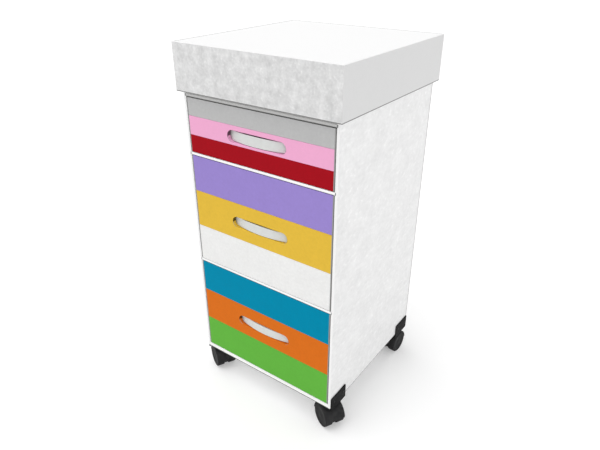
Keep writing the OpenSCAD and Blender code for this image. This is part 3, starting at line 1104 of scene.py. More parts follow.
def screw_heads(node: str, shank_way: Vector, head_height: float) -> list[ScrewHead]:
    """Finds the screws of a CAD node that point one way.

    Args:
        node: a CAD node with one closed solid for each screw.
        shank_way: the way in which the wanted screws run into the material.
        head_height: the height of a head above the surface.

    Returns:
        The heads of those screws.
    """
    axis = max(range(3), key=lambda i: abs(shank_way[i]))
    found = []
    for points in loose_parts(node):
        low = Vector([min(p[i] for p in points) for i in range(3)])
        high = Vector([max(p[i] for p in points) for i in range(3)])
        middle = (low + high) / 2
        if max(range(3), key=lambda i: high[i] - low[i]) != axis:
            continue
        wide_end = max(points, key=lambda p: max(abs(p[i] - middle[i]) for i in range(3) if i != axis))
        head_low = abs(wide_end[axis] - low[axis]) < abs(wide_end[axis] - high[axis])
        if head_low != (shank_way[axis] > 0):
            continue
        middle[axis] = low[axis] + head_height if head_low else high[axis] - head_height
        found.append(ScrewHead(middle, -shank_way.normalized()))
    return found


@dataclass(frozen=True)
class ScrewField:
    """Sets a pan-head screw on each marked place, with a Geometry Nodes tree."""

    TREE: ClassVar[str] = "pan-head screws"
    WAY: ClassVar[str] = "way"
    ROUND_STEPS: ClassVar[int] = 24
    RECESS_LENGTH: ClassVar[float] = 1.05
    RECESS_WIDTH: ClassVar[float] = 0.24
    RECESS_LIFT: ClassVar[float] = 0.95

    head_radius: float = 3.2 * MM
    head_height: float = 1.8 * MM
    shank_radius: float = 1.5 * MM
    sharp_angle: float = 30.0

    def tree(self) -> bpy.types.NodeTree:
        """Builds the tree once: a screw on every point, turned at random about its own axis.

        Returns:
            The tree.
        """
        if self.TREE in bpy.data.node_groups:
            return bpy.data.node_groups[self.TREE]
        tree, given, made = new_group(
            self.TREE,
            {
                "Geometry": ("Geometry", None),
                "Head Radius": ("Float", None),
                "Head Height": ("Float", None),
                "Shank Radius": ("Float", None),
                "Shank Length": ("Float", None),
                "Seed": ("Int", None),
                "Material": ("Material", None),
            },
            {"Geometry": "Geometry"},
            kind="GeometryNodeTree",
        )
        screw = tree.joined([self.head(tree, given), self.shank(tree, given)])
        place = tree.node(
            "GeometryNodeInstanceOnPoints",
            {"Points": given["Geometry"], "Instance": screw, "Rotation": self.turn(tree, given)},
        )
        real = tree.node("GeometryNodeRealizeInstances", {"Geometry": place.outputs["Instances"]})
        coat = tree.node(
            "GeometryNodeSetMaterial",
            {"Geometry": real.outputs["Geometry"], "Material": given["Material"]},
        )
        tree.join(coat.outputs["Geometry"], made["Geometry"])
        return tree.tree

    def head(self, tree: Tree, given: Sockets) -> bpy.types.NodeSocket:
        """Places the domed head with its cross recess.

        Args:
            tree: the tree.
            given: the tree's inputs by name.

        Returns:
            The head's mesh.
        """
        radius, height = given["Head Radius"], given["Head Height"]
        ball = tree.node(
            "GeometryNodeMeshUVSphere",
            {"Segments": self.ROUND_STEPS, "Rings": self.ROUND_STEPS // 2, "Radius": radius},
        )
        flatness = tree.vector(1.0, 1.0, tree.math("DIVIDE", height, radius))
        dome = tree.node("GeometryNodeTransform", {"Geometry": ball.outputs["Mesh"], "Scale": flatness})
        long = tree.math("MULTIPLY", radius, self.RECESS_LENGTH)
        thin = tree.math("MULTIPLY", radius, self.RECESS_WIDTH)
        lift = tree.math("MULTIPLY", height, self.RECESS_LIFT)
        bars = [
            tree.node("GeometryNodeMeshCube", {"Size": tree.vector(x, y, height)}).outputs["Mesh"]
            for x, y in ((long, thin), (thin, long))
        ]
        recess = tree.joined([tree.raised(bar, lift) for bar in bars])
        cut = tree.node(
            "GeometryNodeMeshBoolean",
            {"Mesh 1": dome.outputs["Geometry"], "Mesh 2": recess},
            operation="DIFFERENCE",
        )
        return cut.outputs["Mesh"]

    def shank(self, tree: Tree, given: Sockets) -> bpy.types.NodeSocket:
        """Places the plain shank, from the underside of the head down.

        Args:
            tree: the tree.
            given: the tree's inputs by name.

        Returns:
            The shank's mesh.
        """
        radius, length = given["Shank Radius"], given["Shank Length"]
        rod = tree.node(
            "GeometryNodeMeshCylinder",
            {"Vertices": self.ROUND_STEPS // 2, "Radius": radius, "Depth": length},
        )
        return tree.raised(rod.outputs["Mesh"], tree.math("MULTIPLY", length, -0.5))

    def turn(self, tree: Tree, given: Sockets) -> bpy.types.NodeSocket:
        """Places the turn that faces each head its way and spins it at random by up to half a turn.

        Args:
            tree: the tree.
            given: the tree's inputs by name.

        Returns:
            The rotation.
        """
        marked = tree.node("GeometryNodeInputNamedAttribute", {"Name": self.WAY}, data_type="FLOAT_VECTOR")
        way = marked.outputs["Attribute"]
        facing = tree.node("FunctionNodeAlignRotationToVector", {"Vector": way}, axis="Z")
        # Random Value has its sockets once for each type; these numbers are the float's.
        highest, drawn = 3, 1
        span = {highest: math.pi, "Seed": given["Seed"]}
        angle = tree.node("FunctionNodeRandomValue", span, data_type="FLOAT").outputs[drawn]
        spin = tree.node("FunctionNodeAxisAngleToRotation", {"Angle": angle})
        both = {0: facing.outputs[0], 1: spin.outputs[0]}
        return tree.node("FunctionNodeRotateRotation", both, rotation_space="LOCAL").outputs[0]

    def build(
        self, name: str, heads: Sequence[ScrewHead], length: float, finish: Finish, seed: int
    ) -> bpy.types.Object:
        """Makes one mesh of all the screws of a body.

        Args:
            name: the piece's name.
            heads: where the screws stand.
            length: the shank's length.
            finish: the screws' finish.
            seed: the seed of the turn of each screw.

        Returns:
            The piece, at the origin.
        """
        mesh = bpy.data.meshes.new(name + "_places")
        mesh.from_pydata([tuple(head.spot) for head in heads], [], [])
        ways = mesh.attributes.new(self.WAY, "FLOAT_VECTOR", "POINT")
        for item, head in zip(ways.data, heads):
            item.vector = head.way
        carrier = bpy.data.objects.new(name + "_places", mesh)
        modifier = carrier.modifiers.new("screws", "NODES")
        modifier.node_group = self.tree()
        inputs = {
            "Head Radius": self.head_radius,
            "Head Height": self.head_height,
            "Shank Radius": self.shank_radius,
            "Shank Length": length,
            "Seed": seed,
            "Material": finish.material(),
        }
        for socket in modifier.node_group.interface.items_tree:
            if socket.in_out == "INPUT" and socket.name in inputs:
                modifier[socket.identifier] = inputs[socket.name]
        draft = draft_of(carrier)
        for face in draft.faces:
            face.smooth = True
        return shade_by_angle(object_from(name, draft, [finish.material()]), self.sharp_angle)


# ------------------------------------------------------------------ sub-assemblies


@dataclass(frozen=True)
class Panel:
    """One sheet of the cabinet, with the width of the shaded line along its lower edge."""

    node: str
    across: Across
    look: SheetLook
    shade: float = 0.0
    lined: Facing = looks_away


@dataclass
class Cabinet:
    """The fixed body: side, back and bottom panels, shelves, tray deck, glides, bumpers and catches."""

    edge_radius: float = 0.5 * MM
    side_shade: float = 2.0 * MM
    rear_shade: float = 3.2 * MM
    bottom_shade: float = 2.6 * MM
    shelf_shade: float = 1.1 * MM
    deck_shade: float = 1.2 * MM
    catch_radius: float = 1.0 * MM
    bumper_dome: float = 2.0 * MM
    bumper_taper: float = 0.92
    dome_steps: int = 5
    bumper_steps: int = 32
    back_screw_length: float = 20 * MM
    white: SheetLook = field(default_factory=lambda: SheetLook(PLAIN_FACE, CUT_EDGE, EDGE_LINE))
    side: SheetLook = field(default_factory=lambda: SheetLook(SIDE_FACE, SIDE_EDGE, EDGE_LINE))
    deck: SheetLook = field(default_factory=lambda: SheetLook(DECK_FACE, DECK_EDGE, DECK_LINE))
    low_shelf: SheetLook = field(default_factory=lambda: SheetLook(PLAIN_FACE, CUT_EDGE, LOWER_SHELF_LINE))
    high_shelf: SheetLook = field(default_factory=lambda: SheetLook(PLAIN_FACE, CUT_EDGE, UPPER_SHELF_LINE))

    def panels(self) -> list[Panel]:
        """Lists the sheets of the cabinet.

        Returns:
            The panels.
        """
        return [
            Panel("left_side_panel", Across.X, self.side, self.side_shade),
            Panel("right_side_panel", Across.X, self.side, self.side_shade),
            Panel("back_panel", Across.Y, self.white),
            Panel("bottom_panel", Across.Z, self.white, self.bottom_shade),
            Panel("lower_shelf", Across.Z, self.low_shelf, self.shelf_shade, no_way),
            Panel("upper_shelf", Across.Z, self.high_shelf, self.shelf_shade, no_way),
            Panel("tray_deck", Across.Z, self.deck, self.deck_shade),
            Panel("tray_front_wall", Across.Y, self.deck),
        ]

    def build(self) -> None:
        """Builds and dresses every piece of the cabinet."""
        for panel in self.panels():
            self.build_panel(panel)
        self.build_catches()
        self.build_bumpers()
        dress("glide_strips", GLIDE)
        screws = ScrewField()
        heads = screw_heads("back_screws", Vector((0, -1, 0)), screws.head_height)
        piece = screws.build("back_panel_screws", heads, self.back_screw_length, STEEL, seed=3)
        place_piece(piece, "cabinet", "steel", "back_screws")

    def build_panel(self, panel: Panel) -> None:
        """Builds a sheet with the painted shade line along its lower edge, and the one at the back of a side
        panel.

        Args:
            panel: the sheet.
        """
        piece = node_plate(
            panel.node, panel.across, panel.look, edge_radius=self.edge_radius, lined=panel.lined
        )
        low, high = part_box(panel.node)
        # Painted shade: a dark strip along the lower edge, on the faces that don't look down.
        if panel.shade:
            border = Vector((0, 0, low.z + panel.shade))
            mark_strip(piece, border, Vector((0, 0, -1)), not_from_below)
        # Painted shade: a grey strip along a side panel's rear edge, on the faces that look sideways.
        if panel.across is Across.X:
            piece.data.materials.append(PAINTED_REAR_SHADE.material())
            border = Vector((0, high.y - self.rear_shade, 0))
            mark_strip(piece, border, Vector((0, 1, 0)), squarely_sideways, SheetSlot.EXTRA)
        place_piece(piece, "cabinet", "white_sheet", panel.node)

    def build_catches(self) -> None:
        """Builds the cleats under the shelves that stop the drawers."""
        roofs = [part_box(node)[0].z for node in ("lower_shelf", "upper_shelf", "tray_deck")]
        low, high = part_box("drawer_catches")
        height = roofs[0] - low.z
        outline = rounded_rectangle((low.x, low.y), (high.x, high.y), self.catch_radius)
        coat = self.white.materials()
        parts = [cut_sheet("catch", [outline], Across.Z, (roof - height, roof), coat) for roof in roofs]
        place_piece(join_pieces("drawer_stops", parts), "cabinet", "white_sheet", "drawer_catches")

    def build_bumpers(self) -> None:
        """Builds the soft bumpers on the back panel as domed turned pads."""
        low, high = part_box("rear_bumpers")
        inner_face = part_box("back_panel")[0].y
        length = inner_face - low.y
        middles = self.bay_middles()
        radius = ((high.z - low.z) - (max(middles) - min(middles))) / 2
        shoulder, dome_start = radius * self.bumper_taper, length - self.bumper_dome
        profile = [
            (0.0, 0.0),
            (radius, 0.0),
            (shoulder, dome_start),
            *arc((shoulder - self.bumper_dome, dome_start), self.bumper_dome, 0, 90, self.dome_steps),
            (0.0, length),
        ]
        draft = bmesh.new()
        for x in (low.x + radius, high.x - radius):
            for z in middles:
                stand = Matrix.Translation((x, inner_face, z)) @ Matrix.Rotation(math.radians(90), 4, "X")
                turned_ring(draft, profile, stand, self.bumper_steps)
        piece = shade_by_angle(object_from("rear_bumper_pads", draft, [BUMPER.material()]))
        place_piece(piece, "cabinet", "bumper", "rear_bumpers")

    def bay_middles(self) -> list[float]:
        """Works out where the three bays have their middles.

        Returns:
            The heights of the middles.
        """
        floors = [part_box(node)[1].z for node in ("bottom_panel", "lower_shelf", "upper_shelf")]
        roofs = [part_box(node)[0].z for node in ("lower_shelf", "upper_shelf", "tray_deck")]
        return [(floor + roof) / 2 for floor, roof in zip(floors, roofs)]


@dataclass
class Lid:
    """The lift-off lid: a flat top sheet on four skirts, welded without a visible seam."""

    edge_radius: float = 0.9 * MM
    corner_radius: float = 1.0 * MM
    least_radius: float = 0.1 * MM
    lower_radius: float = 0.4 * MM
    # Height of the painted shade band up from the lower rim.
    lower_line: float = 2.1 * MM
    # Width of the painted shade band along the top's back and left edges.
    back_shade: float = 4.0 * MM
    corner_steps: int = 4
    edge_steps: int = 4
    sharp_angle: float = 25.0

    def sections(self) -> list[Point]:
        """Works out the shell's profile, from the ceiling's edge over the lower rim to the top.

        Returns:
            Pairs of the distance inside the lid's outer faces and the height.
        """
        ceiling, top = (corner.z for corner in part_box("lid_top"))
        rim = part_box("lid_front_skirt")[0].z
        wall = top - ceiling
        small = self.lower_radius
        return [
            (wall, ceiling),
            (wall, rim + small),
            (wall - small, rim),
            (small, rim),
            (0.0, rim + small),
            # Top of the painted shade band along the rim.
            (0.0, rim + self.lower_line),
            *arc((self.edge_radius, top - self.edge_radius), self.edge_radius, 180, 90, self.edge_steps),
            # Inner border of the painted shade band along the top's back and left edges.
            (self.edge_radius + self.back_shade, top),
        ]

    def build(self) -> None:
        """Builds and dresses the lid as one shell."""
        low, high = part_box("lid_top")
        draft = bmesh.new()
        rings = []
        for inset, height in self.sections():
            outline = rounded_rectangle(
                (low.x + inset, low.y + inset),
                (high.x - inset, high.y - inset),
                max(self.corner_radius - inset, self.least_radius),
                self.corner_steps,
            )
            rings.append([draft.verts.new((x, y, height)) for x, y in outline])
        for here, there in zip(rings, rings[1:]):
            for i in range(len(here)):
                k = (i + 1) % len(here)
                draft.faces.new((here[i], here[k], there[k], there[i]))
        draft.faces.new(rings[0][::-1])
        draft.faces.new(rings[-1])
        bmesh.ops.recalc_face_normals(draft, faces=draft.faces)
        for face in draft.faces:
            face.smooth = True
            face.material_index = self.slot_of(face.normal, face.calc_center_median())
        finishes = {
            LidSlot.TOP: LID_TOP_FACE,
            LidSlot.END: LID_END_FACE,
            LidSlot.SIDE: LID_SIDE_FACE,
            LidSlot.RIM_LINE: LID_RIM_SHADE,
            LidSlot.BACK_LINE: LID_BACK_SHADE,
        }
        shell = object_from("lid_shell", draft, [finishes[slot].material() for slot in LidSlot])
        nodes = ["lid_top", "lid_front_skirt", "lid_back_skirt", "lid_left_skirt", "lid_right_skirt"]
        place_piece(shade_by_angle(shell, self.sharp_angle), "lid", "white_sheet", *nodes)

    def slot_of(self, normal: Vector, centre: Vector) -> LidSlot:
        """Tells which material a face of the shell has.

        Args:
            normal: the face's normal.
            centre: its centre.

        Returns:
            The material's slot.
        """
        low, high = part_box("lid_top")
        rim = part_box("lid_front_skirt")[0].z
        depth = min(centre.x - low.x, high.x - centre.x, centre.y - low.y, high.y - centre.y)
        # Painted shade: a dark band up from the lower rim on the outer faces.
        if depth < self.corner_radius and centre.z < rim + self.lower_line:
            return LidSlot.RIM_LINE
        if normal.z > BARELY:
            # Painted shade: a grey band along the top's back and left edges.
            border = self.edge_radius + self.back_shade
            far_side = centre.x < low.x + border or centre.y > high.y - border
            return LidSlot.BACK_LINE if far_side else LidSlot.TOP
        return LidSlot.END if abs(normal.y) > abs(normal.x) else LidSlot.SIDE


@dataclass
class Drawer:
    """One drawer: three coloured planks on a slotted box, with a bowed pull behind the slot."""

    level: Level
    seed: int
    plank_radius: float = 0.8 * MM
    edge_radius: float = 0.6 * MM
    slot_length: float = 157 * MM
    slot_height: float = 27 * MM
    slot_drop: float = 2.5 * MM
    slot_relief: float = 18 * MM
    bow_radius: float = 290 * MM
    half_span: float = 96.5 * MM
    pull_thickness: float = 4 * MM
    pull_rise: float = 1.4 * MM
    end_shade: float = 2.2 * MM
    top_shade: float = 2.6 * MM
    arc_steps: int = 24
    screw_length: float = 13 * MM
    box: SheetLook = field(default_factory=lambda: SheetLook(BOX_FACE, BOX_FACE, EDGE_LINE))
    strip: SheetLook = field(default_factory=lambda: SheetLook(PULL_FACE, PULL_FACE, PULL_LINE))

    @property
    def body(self) -> str:
        """The name of the drawer's CAD body."""
        return f"{self.level.value}_drawer"

    def node(self, part: str) -> str:
        """Returns the name of one of the drawer's CAD nodes."""
        return f"{self.body}_{part}"

    def build(self) -> None:
        """Builds and dresses every piece of the drawer."""
        for part, finish in zip(("top_plank", "middle_plank", "bottom_plank"), STRIPES[self.level]):
            self.build_plank(part, finish)
        relief = self.slot_outline(self.slot_length + 2 * self.slot_relief)
        self.build_box_sheet("box_front", Across.Y, [relief])
        self.build_box_sheet("floor", Across.Z)
        self.build_walls()
        self.build_pull()
        screws = ScrewField()
        heads = screw_heads(self.node("screws"), Vector((0, -1, 0)), screws.head_height)
        piece = screws.build(self.node("front_screws"), heads, self.screw_length, STEEL, self.seed)
        place_piece(piece, self.body, "steel", self.node("screws"))

    def slot_outline(self, length: float) -> list[Point]:
        """The outline of the hand slot, a bar with round ends.

        Args:
            length: the slot's length from end to end.

        Returns:
            The outline's points in x and z.
        """
        low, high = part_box(self.node("middle_plank"))
        middle = (low.z + high.z) / 2 - self.slot_drop
        radius = self.slot_height / 2
        reach = length / 2 - radius
        right_end = arc((reach, middle), radius, -90, 90, self.arc_steps)
        return right_end + arc((-reach, middle), radius, 90, 270, self.arc_steps)

    def build_plank(self, part: str, finish: SheetFinish) -> None:
        """Builds a coloured plank, the middle one with the hand slot.

        Args:
            part: which plank it is.
            finish: its finish, whose name is passed on as the slot.
        """
        holes = [self.slot_outline(self.slot_length)] if part == "middle_plank" else []
        look = SheetLook(finish, finish, PLANK_LINE)
        piece = node_plate(self.node(part), Across.Y, look, holes, self.plank_radius, looks_sideways)
        self.shade_ends(piece, part)
        if holes:
            self.shade_slot(piece, finish)
        place_piece(piece, self.body, finish.name.replace(" ", "_"), self.node(part))

    def shade_ends(self, piece: bpy.types.Object, part: str) -> None:
        """Draws the shaded lines at a plank's ends and the one under the deck.

        Args:
            piece: the plank's sheet.
            part: which plank it is.
        """
        low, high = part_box(self.node(part))
        mark_strip(piece, Vector((high.x - self.end_shade, 0, 0)), Vector((1, 0, 0)), any_way)
        mark_strip(piece, Vector((low.x + self.end_shade, 0, 0)), Vector((-1, 0, 0)), any_way)
        if part == "top_plank" and self.level is Level.UPPER:
            piece.data.materials.append(DECK_LINE.material())
            border = Vector((0, low.y + self.top_shade, 0))
            mark_strip(piece, border, Vector((0, -1, 0)), looks_up, SheetSlot.EXTRA)

    def shade_slot(self, piece: bpy.types.Object, finish: SheetFinish) -> None:
        """Paints shade on the upper part of the hand slot's end walls.

        Args:
            piece: the plank's sheet with the slot.
            finish: the finish of the plank.
        """
        piece.data.materials.append(painted_recess_shade(finish).material())
        reach = self.slot_length / 2 + self.edge_radius
        for face in piece.data.polygons:
            in_slot = abs(face.center.x) < reach and abs(face.normal.y) < SQUARE_ON
            # Painted shade: end-wall faces that look sideways and not up take the darker copy.
            if in_slot and abs(face.normal.x) > SLIGHTLY and face.normal.z < BARELY:
                face.material_index = SheetSlot.EXTRA

    def build_box_sheet(self, part: str, across: Across, holes: Sequence[Outline] = ()) -> None:
        """Builds a flat sheet of the box.

        Args:
            part: which part of the drawer it is.
            across: the axis of its thickness.
            holes: outlines of its holes.
        """
        piece = node_plate(self.node(part), across, self.box, holes, self.edge_radius)
        place_piece(piece, self.body, "white_sheet", self.node(part))

    def build_walls(self) -> None:
        """Builds the side walls and the higher back wall."""
        low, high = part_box(self.node("walls"))
        front_low, front_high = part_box(self.node("box_front"))
        thickness = front_high.y - front_low.y
        back = high.y - thickness
        side = rounded_rectangle((low.y, low.z), (back, front_high.z))
        rear = rounded_rectangle((low.x, low.z), (high.x, high.z))
        coat = self.box.materials()
        parts = [
            cut_sheet("wall", [outline], across, span, coat, self.edge_radius)
            for outline, across, span in (
                (side, Across.X, (low.x, low.x + thickness)),
                (side, Across.X, (high.x - thickness, high.x)),
                (rear, Across.Y, (back, high.y)),
            )
        ]
        walls = join_pieces(self.node("wall_sheets"), parts)
        place_piece(walls, self.body, "white_sheet", self.node("walls"))

    def build_pull(self) -> None:
        """Builds the pull: a strip that bows out to the planks' face and turns back into flat tabs."""
        low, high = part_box(self.node("pull"))
        front, rear = self.pull_side(0.0), self.pull_side(self.pull_thickness)
        mirrored_front = [(-x, y) for x, y in reversed(front[1:])]
        outline = mirrored_front + front + rear[::-1] + [(-x, y) for x, y in rear[1:]]
        span = (low.z, high.z + self.pull_rise)
        coat = self.strip.materials()
        piece = cut_sheet(self.node("pull_strip"), [outline], Across.Z, span, coat, self.edge_radius, no_way)
        place_piece(piece, self.body, "pull_strip", self.node("pull"))

    def pull_side(self, offset: float) -> list[Point]:
        """Draws the right half of the line that lies behind the pull's front, parallel to it.

        Args:
            offset: how far behind the front it lies.

        Returns:
            The line's points in x and y, from the middle to the end of the tab.
        """
        low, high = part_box(self.node("pull"))
        tab_face = high.y - self.pull_thickness
        turn = 2 * math.atan((tab_face - low.y) / self.half_span)
        return_radius = self.half_span / math.sin(turn) - self.bow_radius
        bow, back = self.bow_radius - offset, return_radius + offset
        angles = [turn * i / self.arc_steps for i in range(self.arc_steps + 1)]
        bowed = [(bow * math.sin(a), low.y + self.bow_radius - bow * math.cos(a)) for a in angles]
        returned = [
            (self.half_span - back * math.sin(a), tab_face - return_radius + back * math.cos(a))
            for a in reversed(angles[:-1])
        ]
        return [*bowed, *returned, (high.x, tab_face + offset)]


@dataclass
class Caster:
    """One swivelling caster: a hood with its swivel head, a web and two wheels."""

    corner: Corner
    wheel_radius: float = 30.5 * MM
    wheel_width: float = 19.6 * MM
    tread_shoulder: float = 2.6 * MM
    inner_shoulder: float = 1.2 * MM
    rim_width: float = 9 * MM
    rim_round: float = 2 * MM
    dish: float = 1.4 * MM
    hub_radius: float = 6 * MM
    hub_round: float = 1 * MM
    hub_rise: float = 0.6 * MM
    easing: float = 0.2
    web_width: float = 13 * MM
    web_gap: float = 0.4 * MM
    web_inset: float = 3 * MM
    web_edge: float = 0.8 * MM
    hood_gap: float = 1.2 * MM
    hood_thickness: float = 2 * MM
    hood_end: float = 0.5 * MM
    lip_share: float = 0.45
    crown_sink: float = 0.6 * MM
    swivel_radius: float = 14 * MM
    neck_radius: float = 9.5 * MM
    neck_height: float = 5 * MM
    neck_slope: float = 0.5 * MM
    neck_share: float = 0.7
    groove_top: float = 1.4 * MM
    groove_width: float = 1.2 * MM
    groove_depth: float = 0.7 * MM
    chamfer: float = 0.4 * MM
    lip_steps: int = 4
    shoulder_steps: int = 6
    turn_steps: int = 72

    def named(self, part: str) -> str:
        """Returns the caster's name for a part, a body or a joint."""
        return f"{self.corner.value}_{part}"

    def wheel_frame(self) -> Matrix:
        """Works out the axes of the wheels: X along the heading, Y up, Z along the axle.

        Returns:
            The matrix from those axes to the frame.
        """
        spin = joint(self.named("outer_spin"))
        along = Vector(spin["axis"]).normalized()
        upward = Vector((0, 0, 1))
        made = Matrix((upward.cross(along), upward, along)).transposed().to_4x4()
        return Matrix.Translation(Vector(spin["pos_m"])) @ made

    def build(self) -> None:
        """Builds and dresses the hood and both wheels, and dresses the axle."""
        self.build_hood()
        for side in Side:
            self.build_wheel(side)
        dress(self.named("axle"), STEEL)

    def build_hood(self) -> None:
        """Builds the curved cover, the web between the wheels with its rib, and the swivel head."""
        axes = self.wheel_frame()
        stem = joint(self.named("swivel"))["pos_m"]
        draft = bmesh.new()
        turned_ring(draft, self.cover_profile(), axes, self.turn_steps // 2, turn=180.0)
        turned_ring(draft, self.web_profile(), axes, self.turn_steps)
        turned_ring(draft, self.rib_profile(), axes, self.turn_steps // 2, turn=180.0)
        head = self.head_profile(axes.translation.z + self.wheel_radius + self.hood_gap - self.crown_sink)
        turned_ring(draft, head, Matrix.Translation((stem[0], stem[1], 0)), self.turn_steps)
        piece = shade_by_angle(object_from(self.named("caster_hood"), draft, [HOOD_BLACK.material()]))
        place_piece(piece, self.named("caster"), "black_plastic", self.named("hood"))

    def cover_profile(self) -> list[Point]:
        """Draws the section of the cover over both wheels, with rounded lips.

        Returns:
            Pairs of the distance from the axle and the place along it.
        """
        inner = self.wheel_radius + self.hood_gap
        outer = inner + self.hood_thickness
        half = self.web_width / 2 + self.web_gap + self.wheel_width - self.hood_end
        lip = self.hood_thickness * self.lip_share
        return [
            (inner, -half + lip),
            (inner + lip, -half),
            *arc((outer - lip, -half + lip), lip, -90, 0, self.lip_steps),
            *arc((outer - lip, half - lip), lip, 0, 90, self.lip_steps),
            (inner + lip, half),
            (inner, half - lip),
        ]

    def web_profile(self) -> list[Point]:
        """Draws the section of the disc between the wheels.

        Returns:
            Pairs of the distance from the axle and the place along it.
        """
        half = self.web_width / 2
        edge = self.web_edge
        web = self.wheel_radius - self.web_inset
        return [
            (0.0, -half),
            (web - edge, -half),
            (web, -half + edge),
            (web, half - edge),
            (web - edge, half),
            (0.0, half),
        ]

    def rib_profile(self) -> list[Point]:
        """Draws the section of the rib that ties the disc to the cover.

        Returns:
            Pairs of the distance from the axle and the place along it.
        """
        half = self.web_width / 2
        start = self.wheel_radius - self.web_inset - self.web_edge
        stop = self.wheel_radius + self.hood_gap + self.web_edge
        return [(start, -half), (stop, -half), (stop, half), (start, half)]

    def head_profile(self, crown: float) -> list[Point]:
        """Draws the section of the swivel head: a neck, a grooved drum and its flat top.

        Args:
            crown: the height at which the neck starts, inside the cover.

        Returns:
            Pairs of the distance from the stem's axis and the height.
        """
        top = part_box(self.named("hood"))[1].z
        radius = self.swivel_radius
        groove_high = top - self.groove_top
        groove_low = groove_high - self.groove_width
        return [
            (0.0, crown),
            (self.neck_radius, crown),
            (radius - self.neck_slope, crown + self.neck_height * self.neck_share),
            (radius, crown + self.neck_height),
            (radius, groove_low),
            (radius - self.groove_depth, groove_low + self.chamfer),
            (radius - self.groove_depth, groove_high - self.chamfer),
            (radius, groove_high),
            (radius, top - self.chamfer),
            (radius - self.chamfer, top),
            (0.0, top),
        ]

    def wheel_profile(self) -> list[Point]:
        """Draws the section of a wheel with rounded shoulders, a dished face and a raised hub.

        Returns:
            Pairs of the distance from the axle and the place along it, from the inner face out.
        """
        radius, width = self.wheel_radius, self.wheel_width
        shoulder, inner = self.tread_shoulder, self.inner_shoulder
        rim, hub = radius - self.rim_width, self.hub_radius
        bottom = width - self.dish
        return [
            (0.0, 0.0),
            *arc((radius - inner, inner), inner, -90, 0, self.lip_steps),
            *arc((radius - shoulder, width - shoulder), shoulder, 0, 90, self.shoulder_steps),
            (rim + self.rim_round, width),
            (rim, width - self.dish * self.easing),
            (rim - 2 * self.rim_round, bottom + self.dish * self.easing),
            (rim - 3 * self.rim_round, bottom),
            (hub + self.hub_round, bottom),
            (hub, bottom + self.hub_rise * self.easing),
            (hub - self.hub_round, bottom + self.hub_rise * (1 - self.easing)),
            (hub - 2 * self.hub_round, bottom + self.hub_rise),
            (0.0, bottom + self.hub_rise),
        ]

    def build_wheel(self, side: Side) -> None:
        """Builds one wheel on its side of the web.

        Args:
            side: which of the two wheels.
        """
        node = self.named(f"{side.value}_wheel")
        axes = self.wheel_frame()
        low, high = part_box(node)
        ahead = ((low + high) / 2 - axes.translation).dot(axes.col[2].to_3d()) > 0
        turned = axes if ahead else axes @ Matrix.Rotation(math.pi, 4, "X")
        away = Matrix.Translation(Vector((0, 0, self.web_width / 2 + self.web_gap)))
        draft = bmesh.new()
        turned_ring(draft, self.wheel_profile(), turned @ away, self.turn_steps)
        piece = shade_by_angle(object_from(node + "_turned", draft, [WHEEL_BLACK.material()]))
        place_piece(piece, node, "wheel_black", node)


@dataclass
class CasterMounts:
    """The four corner brackets, their screws and the stems."""

    thickness: float = 3 * MM
    width: float = 65 * MM
    reach: float = 60 * MM
    corner_radius: float = 1.5 * MM
    edge_radius: float = 0.5 * MM
    screw_length: float = 7 * MM
    look: SheetLook = field(default_factory=lambda: SheetLook(BRACKET_BLACK, BRACKET_BLACK, BRACKET_BLACK))

    def build(self) -> None:
        """Builds the brackets and screws, and dresses the stems."""
        parts = [part for x_sign in (-1, 1) for y_sign in (-1, 1) for part in self.bracket(x_sign, y_sign)]
        plates = join_pieces("caster_bracket_plates", parts)
        place_piece(plates, "cabinet", "bracket_black", "caster_brackets")
        screws = ScrewField()
        ways = (Vector((1, 0, 0)), Vector((-1, 0, 0)), Vector((0, 0, 1)))
        heads = [head for way in ways for head in screw_heads("bracket_screws", way, screws.head_height)]
        piece = screws.build("bracket_screw_set", heads, self.screw_length, SCREW_BLACK, seed=8)
        place_piece(piece, "cabinet", "bracket_black", "bracket_screws")
        dress("caster_stems", STEEL)

    def bracket(self, x_sign: int, y_sign: int) -> list[bpy.types.Object]:
        """Builds the two plates of a corner's bracket, the level one let into the upright one.

        Args:
            x_sign: 1 for the right side and -1 for the left.
            y_sign: 1 for the back and -1 for the front.

        Returns:
            The upright plate outside the side panel and the level plate under the bottom panel.
        """
        low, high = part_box("caster_brackets")
        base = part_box("bottom_panel")[0].z
        coat = self.look.materials()
        near_y, far_y = sorted((y_sign * high.y, y_sign * (high.y - self.width)))
        side = sorted((x_sign * high.x, x_sign * (high.x - self.thickness)))
        ends = sorted((x_sign * (high.x - self.thickness / 2), x_sign * (high.x - self.reach)))
        upright = rounded_rectangle((near_y, low.z), (far_y, high.z), self.corner_radius)
        level = rounded_rectangle((ends[0], near_y), (ends[1], far_y), self.corner_radius)
        return [
            cut_sheet("upright", [upright], Across.X, (side[0], side[1]), coat, self.edge_radius),
            cut_sheet("level", [level], Across.Z, (base - self.thickness, base), coat, self.edge_radius),
        ]


# ------------------------------------------------------------------ studio

WHITE = (1.0, 1.0, 1.0, 1.0)


@dataclass(frozen=True)
class Lamp:
    """A wide soft sun: how strong and wide it is, and where it stands."""

    name: str
    strength: float
    spread: float
    height: float
    heading: float

    def build(self) -> None:
        """Hangs the lamp; its heading turns from straight in front towards the object's right."""
        data = bpy.data.lights.new(self.name, "SUN")
        data.energy = self.strength
        data.angle = math.radians(self.spread)
        lamp = bpy.data.objects.new(self.name, data)
        lamp.rotation_euler = (math.radians(90 - self.height), 0, math.radians(self.heading))
        bpy.context.scene.collection.objects.link(lamp)


